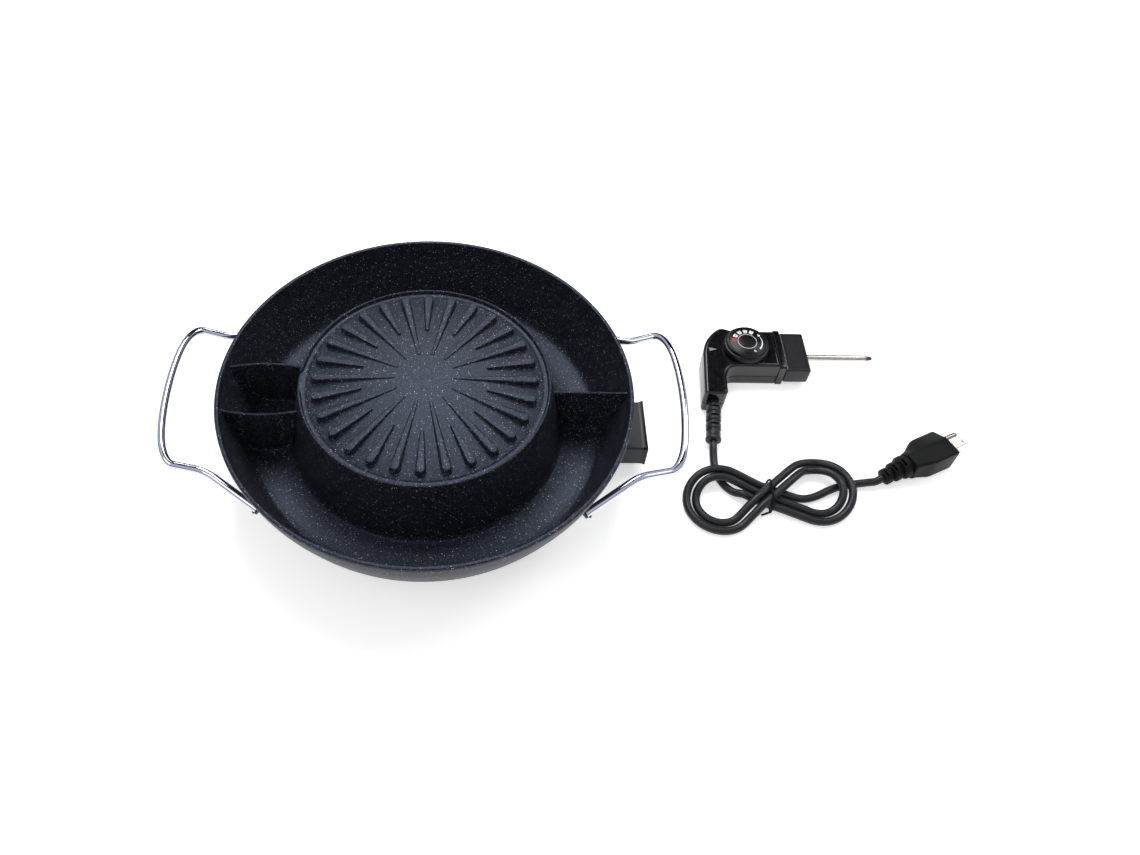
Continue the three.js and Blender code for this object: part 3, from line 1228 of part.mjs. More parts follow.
addPiece(controlGroup, "wire_neutral", fromFlange(-1, [...neutralWay, ...straightIn(neutralY)]), wireWhite);
addPiece(controlGroup, "wire_live_in", fromFlange(
  1,
  [...liveWayIn, [baseFrom[0] - fitGap, axisY, baseFrom[2] + thermostat.baseHeight / 2]]), wireRed);
addPiece(controlGroup, "wire_live_out", wireThrough([
  [contactX, baseFrom[1] - 2 * fitGap, baseFrom[2] + thermostat.baseHeight / 2], ...liveWayOut,
  ...straightIn(liveY)]), wireRed);
addPiece(controlGroup, "wire_earth", fromFlange(0, earthWay), wireGreen);

// Cord pieces

addPiece(cordGroup, "cord_lead", tube(leadCurve, cord.radius, cord.leadSteps, cord.sides), rubber);
addPiece(
  cordGroup, "cord_hank",
  tube(hankCurve, cord.radius, 2 * hank.turns * hank.stepsPerLobe + hank.endSteps, cord.hankSides), rubber);
addPiece(cordGroup, "cord_tail", tube(tailCurve, cord.radius, cord.tailSteps, cord.sides), rubber);
addPiece(cordGroup, "cord_tie", cordTie(), plugVinyl);
addPiece(cordGroup, "plug_body", plugBody(), plugVinyl);
addSet(cordGroup, "plug_blade", plugBlades(), nickel);
addPiece(cordGroup, "plug_ground_pin", inPlugFrame(groundBar(0)), nickel);

// The control lies clear of the right handle. The origin is under the middle of the set without its cord.
controlGroup.position.set(handleSpots.bow[0] + control.standOff, control.aside, 0);
cordGroup.position.copy(controlGroup.position);
const span = new THREE.Box3().setFromObject(panGroup).union(new THREE.Box3().setFromObject(controlGroup));
const middle = span.getCenter(new THREE.Vector3());
assembly.position.set(-middle.x, -middle.y, 0);

export default assembly;
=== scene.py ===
import math

import bmesh
import bpy
from mathutils import Matrix, Vector


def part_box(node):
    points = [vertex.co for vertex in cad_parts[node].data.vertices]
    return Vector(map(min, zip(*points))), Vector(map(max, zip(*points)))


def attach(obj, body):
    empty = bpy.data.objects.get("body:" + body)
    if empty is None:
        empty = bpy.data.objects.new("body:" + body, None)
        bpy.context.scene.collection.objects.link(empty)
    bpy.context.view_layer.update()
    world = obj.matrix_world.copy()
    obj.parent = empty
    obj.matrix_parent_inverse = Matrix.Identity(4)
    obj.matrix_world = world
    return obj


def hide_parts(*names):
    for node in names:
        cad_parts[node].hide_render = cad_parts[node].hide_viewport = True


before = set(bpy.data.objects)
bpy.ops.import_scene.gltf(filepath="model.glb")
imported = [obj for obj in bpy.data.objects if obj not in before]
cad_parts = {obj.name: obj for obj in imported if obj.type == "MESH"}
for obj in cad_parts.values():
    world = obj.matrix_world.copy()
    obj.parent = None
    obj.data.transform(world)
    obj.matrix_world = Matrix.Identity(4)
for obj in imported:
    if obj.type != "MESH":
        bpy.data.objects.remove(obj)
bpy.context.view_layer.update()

mm = 0.001
scene = bpy.context.scene

# The set: a hot pot with a ribbed grill plate in its middle, and its loose control with lead and plug.
# Sizes are millimetres from the pan's own axis. The frame puts that axis left of its origin.
dialPlace = {"x": 305, "y": 98}
dialLow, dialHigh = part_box("dial")
panAxisX = (dialLow.x + dialHigh.x) / 2 - dialPlace["x"] * mm


def home(point):  # millimetres from the pan's axis to metres in the frame
    x, y, z = point
    return Vector((x * mm + panAxisX, y * mm, z * mm))


# The camera that fits the photograph: angles in degrees, lens and sensor in millimetres, place in metres.
view = {"lens": 31.5, "sensor": 36, "nearest": 0.02, "shiftX": 0.0877, "shiftY": -0.0197, "elevation": 52.18,
        "roll": 0.746, "place": (-0.06336, -0.54143, 0.75531)}

cameraData = bpy.data.cameras.new("camera")
cameraData.lens = view["lens"]
cameraData.sensor_width = view["sensor"]
cameraData.shift_x = view["shiftX"]
cameraData.shift_y = view["shiftY"]
cameraData.clip_start = view["nearest"]
camera = bpy.data.objects.new("camera", cameraData)
scene.collection.objects.link(camera)
camera.matrix_world = (Matrix.Translation(view["place"])
                       @ Matrix.Rotation(math.radians(90 - view["elevation"]), 4, "X")
                       @ Matrix.Rotation(math.radians(view["roll"]), 4, "Z"))
scene.camera = camera


def softened(corners, steps=6, closed=True):  # each (x, y, cut) corner becomes a curve that starts cut away
    line = []
    last = len(corners) - 1
    for index, corner in enumerate(corners):
        point = Vector(corner[:2])
        cut = corner[2] if len(corner) > 2 else 0
        if cut == 0 or (not closed and index in (0, last)):
            line.append(tuple(point))
            continue
        before = Vector(corners[index - 1][:2])
        after = Vector(corners[(index + 1) % len(corners)][:2])
        start = point + (before - point).normalized() * cut
        end = point + (after - point).normalized() * cut
        for step in range(steps + 1):
            share = step / steps
            line.append(tuple(start.lerp(point, share).lerp(point.lerp(end, share), share)))
    return line


def moved(line, distance, closed=True):  # a line moved to its right as it is walked
    result = []
    for index, spot in enumerate(line):
        here = Vector(spot)
        before = Vector(line[index - 1]) if closed or index else here
        after = Vector(line[(index + 1) % len(line)]) if closed or index < len(line) - 1 else here
        coming = (here - before).normalized()
        going = (after - here).normalized()
        along = (coming + going).normalized()
        stretch = distance / max(along.dot(coming if coming.length else going), 0.5)
        result.append((here.x + along.y * stretch, here.y - along.x * stretch))
    return result


def curveThrough(points, steps):  # smooth centripetal curve through every point
    points = [Vector(p) for p in points]
    ends = [2 * points[0] - points[1]] + points + [2 * points[-1] - points[-2]]
    line = []
    for index in range(1, len(ends) - 2):
        p0, p1, p2, p3 = ends[index - 1:index + 3]
        d0, d1, d2 = ((b - a).length ** 0.5 for a, b in ((p0, p1), (p1, p2), (p2, p3)))
        t1 = ((p1 - p0) / d0 - (p2 - p0) / (d0 + d1) + (p2 - p1) / d1) * d1
        t2 = ((p2 - p1) / d1 - (p3 - p1) / (d1 + d2) + (p3 - p2) / d2) * d1
        for step in range(steps):
            t = step / steps
            line.append(p1 + t1 * t + (3 * (p2 - p1) - 2 * t1 - t2) * t ** 2
                        + (2 * (p1 - p2) + t1 + t2) * t ** 3)
    return line + [points[-1]]


def shell(rows, capStart=True, capEnd=True):  # rows of equal length become one skin
    count = len(rows[0])
    points = [tuple(point) for row in rows for point in row]
    faces = []
    for row in range(len(rows) - 1):
        for column in range(count):
            a, b = row * count + column, row * count + (column + 1) % count
            faces.append((a, b, b + count, a + count))
    if capStart:
        faces.append(tuple(reversed(range(count))))
    if capEnd:
        faces.append(tuple(range((len(rows) - 1) * count, len(rows) * count)))
    return points, faces


def sideways(direction):  # two directions square to one another and to the given one
    direction = Vector(direction).normalized()
    first = direction.orthogonal().normalized() if abs(direction.z) < 0.99 else Vector((1, 0, 0))
    return first, direction.cross(first)


def turned(profile, steps=48, start=(0, 0, 0), along=(0, 0, 1)):  # (radius, distance) pairs round an axis
    along = Vector(along).normalized()
    first, second = sideways(along)
    rows = []
    for radius, distance in profile:
        middle = Vector(start) + along * distance
        rows.append([middle + (first * math.cos(a) + second * math.sin(a)) * radius
                     for a in (2 * math.pi * k / steps for k in range(steps))])
    return shell(rows)


def swept(path, radius, sides=16):  # a round rod along a path, its frame carried without twist
    path = [Vector(p) for p in path]
    heading = (path[1] - path[0]).normalized()
    first, _ = sideways(heading)
    rows = []
    for index, point in enumerate(path):
        ahead = (path[min(index + 1, len(path) - 1)] - path[max(index - 1, 0)]).normalized()
        first = (first - ahead * first.dot(ahead)).normalized()
        second = ahead.cross(first)
        size = radius(index) if callable(radius) else radius
        rows.append([point + (first * math.cos(a) + second * math.sin(a)) * size
                     for a in (2 * math.pi * k / sides for k in range(sides))])
    return shell(rows)


def raised(outline, levels):  # an outline stacked at (inset, height) levels
    return shell([[(x, y, height) for x, y in moved(outline, -inset)] for inset, height in levels])


def laidAlong(shellParts, start, turn):  # a shell made along +X is turned and put in place
    points, faces = shellParts
    spin = Matrix.Rotation(turn, 3, "Z")
    return [tuple(spin @ Vector(p) + Vector(start)) for p in points], faces


def skinned(name, shells):  # one object out of several (points, faces) shells
    points, faces = [], []
    for somePoints, someFaces in shells:
        base = len(points)
        points += somePoints
        faces += [tuple(index + base for index in face) for face in someFaces]
    mesh = bpy.data.meshes.new(name)
    mesh.from_pydata([home(point) for point in points], [], faces)
    work = bmesh.new()
    work.from_mesh(mesh)
    bmesh.ops.remove_doubles(work, verts=work.verts, dist=1e-6)
    bmesh.ops.dissolve_degenerate(work, edges=work.edges, dist=1e-7)
    bmesh.ops.recalc_face_normals(work, faces=work.faces)
    work.to_mesh(mesh)
    work.free()
    made = bpy.data.objects.new(name, mesh)
    scene.collection.objects.link(made)
    return made


# A finished piece rides its body and stands for the plain nodes that it replaces.
def makePiece(name, shells, finish, body, stands=(), crease=32, cuts=()):
    piece = skinned(name, shells)
    for index, cutShells in enumerate(cuts):
        cutter = skinned(f"{name}_cut_{index}", cutShells)
        change = piece.modifiers.new("cut", "BOOLEAN")
        change.operation = "DIFFERENCE"
        change.solver = "EXACT"
        change.object = cutter
        settle(piece)
        bpy.data.objects.remove(cutter)
    piece.data.shade_smooth()
    piece.data.set_sharp_from_angle(angle=math.radians(crease))
    piece.data.materials.append(finish)
    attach(piece, body)
    if stands:
        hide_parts(*stands)
    return piece


def acrossAxis(along):  # upwards and sideways, both square to an axis
    up = (Vector((0, 0, 1)) - along * along.z).normalized()
    return up, along.cross(up)


def notchPair(middle, along, wide, out, depths):  # two blocks, on opposite sides, that cut a ring open
    return [shell([[middle + along * a + wide * b + out * side * depth
                    for a, b in ((-1, -1), (1, -1), (1, 1), (-1, 1))] for depth in depths])
            for side in (-1, 1)]


def settle(piece):  # what the modifiers make becomes the mesh
    made = bpy.data.meshes.new_from_object(piece.evaluated_get(bpy.context.evaluated_depsgraph_get()))
    piece.modifiers.clear()
    piece.data = made


def tone(code):  # sRGB hex to linear
    parts = [int(code[i:i + 2], 16) / 255 for i in (1, 3, 5)]
    return (*(p / 12.92 if p <= 0.04045 else ((p + 0.055) / 1.055) ** 2.4 for p in parts), 1)


def addNode(tree, kind, values=None, links=None, **settings):
    node = tree.nodes.new(kind)
    for name, value in settings.items():
        setattr(node, name, value)
    for key, value in (values or {}).items():
        node.inputs[key].default_value = value
    for key, source in (links or {}).items():
        tree.links.new(source, node.inputs[key])
    return node


def perMm(size):  # texture scale whose pattern repeats about every size millimetres
    return 1 / (size * mm)


def startMaterial(name):
    material = bpy.data.materials.new(name)
    material.use_nodes = True
    tree = material.node_tree
    tree.nodes.clear()
    place = addNode(tree, "ShaderNodeTexCoord").outputs["Object"]
    return material, tree, place


def surface(tree, colour, grain, look):  # one grain shapes both gloss and relief of the coloured skin
    (grainLow, grainHigh), (low, high) = look.get("grainRange", (0.3, 0.7)), look["roughness"]
    gloss = addNode(tree, "ShaderNodeMapRange", {"From Min": grainLow, "From Max": grainHigh, "To Min": low,
                                                 "To Max": high}, {"Value": grain.outputs["Fac"]})
    relief = addNode(tree, "ShaderNodeBump", {"Strength": look["bump"], "Distance": look["depthMm"] * mm},
                     {"Height": grain.outputs["Fac"]})
    skin = addNode(tree, "ShaderNodeBsdfPrincipled", {"Metallic": look.get("metallic", 0)}, {
        "Base Color": colour, "Roughness": gloss.outputs["Result"], "Normal": relief.outputs["Normal"]})
    if "specular" in look:
        skin.inputs["Specular IOR Level"].default_value = look["specular"]
    if "gloss" in look:
        skin.inputs["Specular Tint"].default_value = tone(look["gloss"])
    addNode(tree, "ShaderNodeOutputMaterial", links={"Surface": skin.outputs["BSDF"]})


# Any plain finish: two near colours in soft blotches, a fine grain that also varies the gloss.
usualLook = {"blotchMm": 5, "grainMm": 0.5, "roughness": (0.45, 0.6), "bump": 0.1, "depthMm": 0.02}


def plainFinish(name, changes):
    look = {**usualLook, **changes}
    material, tree, place = startMaterial(name)
    blotch = addNode(tree, "ShaderNodeTexNoise", {"Scale": perMm(look["blotchMm"]), "Detail": 3},
                     {"Vector": place})
    grain = addNode(tree, "ShaderNodeTexNoise", {"Scale": perMm(look["grainMm"]), "Detail": 4,
                                                 "Roughness": 0.6}, {"Vector": place})
    colour = addNode(tree, "ShaderNodeMix", {6: tone(look["colour"]), 7: tone(look["second"])},
                     {0: blotch.outputs["Fac"]}, data_type="RGBA")
    surface(tree, colour.outputs[2], grain, look)
    return material


# Cast aluminium with a sprayed stone-effect non-stick coat: slate black, satin, with dense pale specks.
# Real specks are 0.2 to 0.4 mm wide, and here they reach 0.6 mm so that they show in the render.
coatLook = {"dark": "#101217", "light": "#181b21", "waveMm": 26, "grainMm": 0.5, "roughness": (0.36, 0.48),
            "bump": 0.25, "depthMm": 0.12, "gloss": "#bccaec", "specular": 0.32, "smallest": 0.6,
            "specks": [{"colour": "#606675", "everyMm": 0.9, "radiusMm": 0.28, "kept": 0.75},
                       {"colour": "#dde1ea", "everyMm": 1.8, "radiusMm": 0.3, "kept": 0.4}]}


def speckledNonStick():
    material, tree, place = startMaterial("speckled_non_stick_on_cast_aluminium")
    wave = addNode(tree, "ShaderNodeTexNoise", {"Scale": perMm(coatLook["waveMm"]), "Detail": 4},
                   {"Vector": place})
    grain = addNode(tree, "ShaderNodeTexNoise", {"Scale": perMm(coatLook["grainMm"]), "Detail": 3},
                    {"Vector": place})
    colour = addNode(tree, "ShaderNodeMix", {6: tone(coatLook["dark"]), 7: tone(coatLook["light"])},
                     {0: wave.outputs["Fac"]}, data_type="RGBA").outputs[2]
    for speck in coatLook["specks"]:
        size = speck["radiusMm"] / speck["everyMm"]
        cells = addNode(tree, "ShaderNodeTexVoronoi", {"Scale": perMm(speck["everyMm"])}, {"Vector": place})
        chance = addNode(tree, "ShaderNodeSeparateColor", links={"Color": cells.outputs["Color"]})
        reach = addNode(tree, "ShaderNodeMapRange", {"To Min": coatLook["smallest"] * size, "To Max": size},
                        {"Value": chance.outputs["Red"]})
        inside = addNode(tree, "ShaderNodeMath", links={0: cells.outputs["Distance"],
                                                        1: reach.outputs["Result"]}, operation="LESS_THAN")
        chosen = addNode(tree, "ShaderNodeMath", {1: speck["kept"]}, {0: chance.outputs["Green"]},
                         operation="LESS_THAN")
        shown = addNode(tree, "ShaderNodeMath", links={0: inside.outputs[0], 1: chosen.outputs[0]},
                        operation="MULTIPLY")
        colour = addNode(tree, "ShaderNodeMix", {7: tone(speck["colour"])}, {0: shown.outputs[0], 6: colour},
                         data_type="RGBA").outputs[2]
    surface(tree, colour, grain, coatLook)
    return material


# Stainless probe, drawn and polished, with the straw-brown heat tint that a used tip has.
probeLook = {"steel": "#c9c4bd", "tint": "#6b4f3e", "tintStart": 424, "tintEnd": 427, "drawnMm": 0.6,
             "drawnShare": 0.05, "grainRange": (0, 1), "roughness": (0.2, 0.34), "bump": 0.1, "depthMm": 0.05,
             "metallic": 1}


def tintedStainless():
    material, tree, place = startMaterial("drawn_stainless_with_heat_tint")
    along = addNode(tree, "ShaderNodeSeparateXYZ", links={"Vector": place})
    tint = addNode(tree, "ShaderNodeMapRange", {
        "From Min": probeLook["tintStart"] * mm + panAxisX, "From Max": probeLook["tintEnd"] * mm + panAxisX},
        {"Value": along.outputs["X"]})
    stretched = addNode(tree, "ShaderNodeMapping", {"Scale": (probeLook["drawnShare"], 1, 1)},
                        {"Vector": place})
    drawn = addNode(tree, "ShaderNodeTexNoise", {"Scale": perMm(probeLook["drawnMm"]), "Detail": 3},
                    {"Vector": stretched.outputs["Vector"]})
    colour = addNode(tree, "ShaderNodeMix", {6: tone(probeLook["steel"]), 7: tone(probeLook["tint"])},
                     {0: tint.outputs["Result"]}, data_type="RGBA")
    surface(tree, colour.outputs[2], drawn, probeLook)
    return material


coat = speckledNonStick()
probeSteel = tintedStainless()
# Steel wire, plated with bright chrome: mirror-like, cool white with faint handling smudges.
chrome = plainFinish("bright_chrome_plated_steel", {
    "colour": "#cfd1da", "second": "#c7c9d2", "blotchMm": 20, "grainMm": 6, "roughness": (0.04, 0.11),
    "bump": 0.02, "metallic": 1})
# Compression-moulded phenolic, semi-matt: slate black with a fine grain.
phenolic = plainFinish("moulded_phenolic_satin", {
    "colour": "#191a1f", "second": "#222328", "blotchMm": 14, "grainMm": 0.4, "roughness": (0.4, 0.56),
    "bump": 0.25, "depthMm": 0.05, "specular": 0.35})
# The same moulding from a polished tool, glossier, with its colour darkened to deep black as painted shade:
# the lip of the socket.
phenolicLipPaintedShade = plainFinish("moulded_phenolic_painted_shade", {
    "colour": "#08080a", "second": "#0d0d10", "blotchMm": 10, "roughness": (0.3, 0.42), "bump": 0.12,
    "depthMm": 0.03, "specular": 0.3})
# Glossy moulded phenolic of the control case: black with crisp highlights and light finger marks.
glossCase = plainFinish("polished_phenolic_black", {
    "colour": "#09090b", "second": "#0e0e11", "blotchMm": 9, "grainMm": 3, "roughness": (0.1, 0.22),
    "bump": 0.04, "depthMm": 0.04})
# Satin phenolic of the terminal head: a little greyer than the case.
satinCase = plainFinish("satin_phenolic_charcoal", {
    "colour": "#141418", "second": "#1b1b20", "blotchMm": 8, "roughness": (0.26, 0.4), "bump": 0.2,
    "depthMm": 0.04, "specular": 0.35})
# Dial: moulded ABS with a fine spark-eroded texture.
dialPlastic = plainFinish("moulded_abs_black", {
    "colour": "#0d0d0f", "second": "#141417", "blotchMm": 7, "grainMm": 0.35, "roughness": (0.24, 0.36),
    "bump": 0.15, "depthMm": 0.03, "specular": 0.22})
# Pad-printed inks: slightly uneven, matt.
inkTones = {"white": ("#eceef0", "#dfe1e4"), "red": ("#d3262b", "#bf1f25"), "black": ("#161619", "#1d1d21"),
            "grey": ("#7d828c", "#6d727b")}
inks = {name: plainFinish("pad_print_" + name, {
    "colour": first, "second": second, "blotchMm": 2, "grainMm": 0.3})
    for name, (first, second) in inkTones.items()}
# Extruded PVC jacket: dark grey, satin, with the faint drag of the die.
cordVinyl = plainFinish("extruded_pvc_dark_grey", {
    "colour": "#17181b", "second": "#1e1f22", "blotchMm": 9, "grainMm": 0.8, "roughness": (0.34, 0.46),
    "bump": 0.14, "depthMm": 0.06, "specular": 0.35})
# Moulded PVC of the plug: matt black with a fine leather-like grain.
plugVinyl = plainFinish("moulded_pvc_matt_black", {
    "colour": "#0a0b0c", "second": "#101112", "blotchMm": 8, "grainMm": 0.45, "roughness": (0.46, 0.62),
    "bump": 0.3, "depthMm": 0.06, "specular": 0.14})
# Relief: softer PVC than the plug, dark grey.
reliefVinyl = plainFinish("moulded_pvc_dark_grey", {
    "colour": "#18191c", "second": "#202125", "blotchMm": 6, "roughness": (0.38, 0.5), "bump": 0.2,
    "depthMm": 0.05, "specular": 0.35})
# Nickel-plated brass blades: warm white, softly polished, fine punch marks.
nickel = plainFinish("nickel_plated_brass", {
    "colour": "#aa9f9a", "second": "#9a8f8a", "roughness": (0.2, 0.34), "bump": 0.08, "metallic": 1})
# Zinc-plated steel: cool grey with a faint crystal mottling.
zinc = plainFinish("zinc_plated_steel", {
    "colour": "#a9adb3", "second": "#8f9399", "blotchMm": 3, "roughness": (0.3, 0.45), "depthMm": 0.03,
    "metallic": 1})
# Set screws: steel with black oxide, nearly as dark as the coat.
blackOxide = plainFinish("black_oxide_steel", {
    "colour": "#1b1c20", "second": "#242529", "blotchMm": 2, "grainMm": 0.4, "roughness": (0.42, 0.58),
    "metallic": 1})
# Nickel-alloy sheath of the heating element: oxidised, olive-grey, dull.
sheath = plainFinish("oxidised_heater_sheath", {
    "colour": "#5b5a55", "second": "#44433f", "blotchMm": 6, "roughness": (0.42, 0.6), "bump": 0.2,
    "depthMm": 0.04, "metallic": 1})
# Rolled brass: a warm yellow strip with rolling marks.
brass = plainFinish("bright_rolled_brass", {
    "colour": "#c9a24a", "second": "#b28b3a", "blotchMm": 4, "roughness": (0.26, 0.4), "bump": 0.08,
    "metallic": 1})
# Stainless strip: grey, faintly grained.
steelStrip = plainFinish("rolled_stainless_strip", {
    "colour": "#b9b6b0", "second": "#a5a29d", "grainMm": 0.4, "roughness": (0.28, 0.42), "metallic": 1})
# Steatite: off-white, dry and slightly porous.
steatite = plainFinish("fired_steatite", {
    "colour": "#e4dfd3", "second": "#d8d1c2", "blotchMm": 3, "grainMm": 0.3, "roughness": (0.5, 0.65),
    "bump": 0.2, "depthMm": 0.03})
wireTones = {"wire_neutral": "#dedbd2", "wire_live": "#8f2a23", "wire_earth": "#3b7d3f"}
wireFinishes = {start: plainFinish(f"silicone_sleeve_{start}", {
    "colour": code, "second": code, "depthMm": 0.03}) for start, code in wireTones.items()}
print("finishes made")

# The cord comes first: a lead, a figure-eight hank and a tail, one skin from relief to plug.
cord = {"radius": 3.6, "rest": 3.7, "sides": 20, "metres": 0.943,
        "reliefStart": (269.4, 41, 13), "reliefEnd": (264.4, 0, 8), "fitGap": 0.3,
        "lead": [(263, -15.5, 5.1), (262.9, -23, 3.9), (263.5, -31, 3.7), (265.8, -40, 3.7),
                 (270, -47.3, 3.7), (276, -53, 4.1)],
        "tail": [(335.5, -59.3, 4), (344, -58, 3.7), (352.5, -54.6, 3.7), (361, -50.2, 3.7),
                 (370, -46.3, 3.7), (379.5, -43.6, 3.7), (389, -42.4, 4.2), (397, -42, 5.6)]}
hank = {"centre": (306.4, -58), "tilt": 8, "lobeReach": 44.4, "lobeRadius": 23.6, "laneStep": 8.3,
        "turns": 2, "startBefore": 14, "endAfter": 12, "crossingLift": 8.2, "tieLift": 1.3, "ramp": 40,
        "tailShift": 14, "tailHalf": 4, "crossBack": 9, "crossHalf": 18, "leadHalf": 3, "underHalf": 10,
        "stepMm": 1.8}
plug = {"start": (411.6, -38.2), "turn": 25.8, "axis": 12.9, "bootDrop": 5, "bootLength": 27}

tilt = math.radians(hank["tilt"])
crossAngle = math.asin(hank["lobeRadius"] / hank["lobeReach"])
straightRun = math.sqrt(hank["lobeReach"] ** 2 - hank["lobeRadius"] ** 2)
arcTurn = math.pi + 2 * crossAngle
lobeLength = 2 * straightRun + hank["lobeRadius"] * arcTurn
turnLength = 2 * lobeLength


def onEight(distance):  # place and heading on the middle line, by distance from a crossing
    lobes = math.floor(distance / lobeLength)
    along = distance - lobes * lobeLength
    side = 1 if lobes % 2 == 0 else -1
    start = tilt + (-crossAngle if side > 0 else math.pi + crossAngle)
    forward = Vector((math.cos(start), math.sin(start)))
    bend = min(max(along - straightRun, 0) / hank["lobeRadius"], arcTurn)
    heading = start + side * bend
    after = max(along - straightRun - hank["lobeRadius"] * arcTurn, 0)
    centre = forward * straightRun + Vector((-forward.y, forward.x)) * side * hank["lobeRadius"]
    onArc = centre + Vector((math.sin(heading), -math.cos(heading))) * side * hank["lobeRadius"]
    base = forward * along if along < straightRun else onArc
    return base + Vector((math.cos(heading), math.sin(heading))) * after, heading


overTail = (straightRun + hank["lobeRadius"] * (arcTurn / 2 + math.radians(hank["tailShift"])),
            hank["tailHalf"])
overCross = (lobeLength - hank["crossBack"], hank["crossHalf"])
overLead = (turnLength - straightRun - hank["lobeRadius"] * (crossAngle - tilt), hank["leadHalf"])
underCross = (0, hank["underHalf"])


def raisedShare(distance, stretch):
    away = max(abs(distance - stretch[0]) - stretch[1], 0)
    return 0 if away >= hank["ramp"] else (1 + math.cos(math.pi * away / hank["ramp"])) / 2


def liftAt(distance):
    free, low = 1, 1
    for turn in range(-1, hank["turns"] + 2):
        within = distance - turn * turnLength
        for stretch in (overTail, overCross, overLead):
            free *= 1 - raisedShare(within, stretch)
        low *= (1 - raisedShare(within, underCross)) * (1 - raisedShare(within, overCross))
    return hank["crossingLift"] * (1 - free) + hank["tieLift"] * (1 - low)


def hankPoint(distance):
    place, heading = onEight(distance)
    lane = hank["laneStep"] * (distance / turnLength - hank["turns"] / 2)
    return Vector((hank["centre"][0] + place.x - math.sin(heading) * lane,
                   hank["centre"][1] + place.y + math.cos(heading) * lane, cord["rest"] + liftAt(distance)))


hankFrom, hankTo = -hank["startBefore"], hank["turns"] * turnLength + hank["endAfter"]
hankSteps = round((hankTo - hankFrom) / hank["stepMm"])
hankLine = [hankPoint(hankFrom + (hankTo - hankFrom) * k / hankSteps) for k in range(hankSteps + 1)]
entering = (hankPoint(hankFrom + 1) - hankLine[0]).normalized()
leaving = (hankLine[-1] - hankPoint(hankTo - 1)).normalized()
reliefMouth = Vector(cord["reliefEnd"])
reliefAlong = (reliefMouth - Vector(cord["reliefStart"])).normalized()
plugTurn = math.radians(plug["turn"])
plugStart = Vector((*plug["start"], plug["axis"] - plug["bootDrop"]))
bootAlong = Vector((plug["bootLength"] * math.cos(plugTurn), plug["bootLength"] * math.sin(plugTurn),
                    plug["bootDrop"])).normalized()
leadLine = curveThrough([
    reliefMouth + reliefAlong * cord["fitGap"], reliefMouth + reliefAlong * 2 * cord["radius"], *cord["lead"],
    hankLine[0] - entering * 2 * cord["radius"], hankLine[0] - entering * cord["fitGap"]], 6)
tailLine = curveThrough([
    hankLine[-1] + leaving * cord["fitGap"], hankLine[-1] + leaving * 2 * cord["radius"], *cord["tail"],
    plugStart - bootAlong * 2 * cord["radius"], plugStart - bootAlong * cord["fitGap"]], 6)
cordLine = leadLine + hankLine + tailLine
cordPiece = makePiece("mains_cord", [swept(cordLine, cord["radius"], cord["sides"])], cordVinyl, "control",
                      ["cord_lead", "cord_hank", "cord_tail"], crease=60)
print("cord laid,", round(sum((b - a).length for a, b in zip(cordLine, cordLine[1:]))), "mm")

# The casting is one turned profile, from the hollow under the plate to the middle of the plate.
pan = {"rimRadius": 180, "rimHeight": 86, "rimWidth": 3.5, "wall": 3.3, "depth": 58, "moatOuter": 148,
       "moatInner": 127, "steps": 192,
       "wallShares": [(0.046, 0.138), (0.13, 0.31), (0.326, 0.569), (0.593, 0.862), (0.74, 0.96), (1, 1)],
       "footShares": [(0, 0), (0.53, 0.14), (0.82, 0.48), (1, 1)], "footRadius": 119.2, "footRise": 10,
       "shoulder": [(111.2, 80, 4), (110, 86.4, 1.2), (109.2, 88.1, 0.8), (105.4, 88, 1.4),
                    (104.2, 87.8, 0.9), (102.1, 87.9, 0.8)],
       "domeRadius": 101.5, "domeCut": 0.4, "domeInner": 96, "domeEdge": 2.4, "domeHeight": 10,
       "domeSteps": 24, "rimDrop": 3.4, "rimCut": 1.1, "rimInnerDrop": 1.4, "rimInnerCut": 0.9,
       "skirt": [(178.8, 80, 1), (180, 82, 0.8), (180, 83)],
       "hollowDome": (0, 60, 98), "hollow": [(106, 80, 3), (115.6, 40, 2), (119.5, 27.5, 3)],
       "hollowFoot": [(126, 2), (130, 0)]}
moatFloor = pan["rimHeight"] - pan["depth"]
underside = moatFloor - pan["wall"]
rimInner = pan["rimRadius"] - pan["rimWidth"]


def domeAt(radius):
    fall = pan["domeHeight"] - pan["domeEdge"]
    return pan["rimHeight"] + pan["domeHeight"] - fall * (radius / pan["domeRadius"]) ** 2


wallSpots = [(rimInner - inwards * (rimInner - pan["moatOuter"]), pan["rimHeight"] - down * pan["depth"])
             for inwards, down in pan["wallShares"]]
footSpots = [(pan["moatInner"] - inwards * (pan["moatInner"] - pan["footRadius"]),
              moatFloor + up * pan["footRise"]) for inwards, up in pan["footShares"]]
wallTop = (rimInner, pan["rimHeight"] - pan["rimInnerCut"])
innerWall = [tuple(p) for p in curveThrough([wallTop, *wallSpots], 6)]
plateauFoot = [tuple(p) for p in curveThrough(footSpots, 5)]
shoulderLine = softened([plateauFoot[-1], *pan["shoulder"],
                         (pan["domeRadius"], domeAt(pan["domeRadius"]), pan["domeCut"]),
                         (pan["domeInner"], domeAt(pan["domeInner"]))], 5, closed=False)
domeRadii = [pan["domeInner"] * (1 - k / pan["domeSteps"]) for k in range(pan["domeSteps"] + 1)]
moatLine = innerWall + plateauFoot + shoulderLine[1:]
rimLine = softened([(pan["rimRadius"], pan["rimHeight"] - pan["rimDrop"]),
                    (pan["rimRadius"], pan["rimHeight"], pan["rimCut"]),
                    (rimInner, pan["rimHeight"], pan["rimInnerCut"]),
                    (rimInner, pan["rimHeight"] - pan["rimInnerDrop"])], 5, closed=False)[1:-1]
outerWall = list(reversed(moved(innerWall[2:], -pan["wall"], closed=False)))
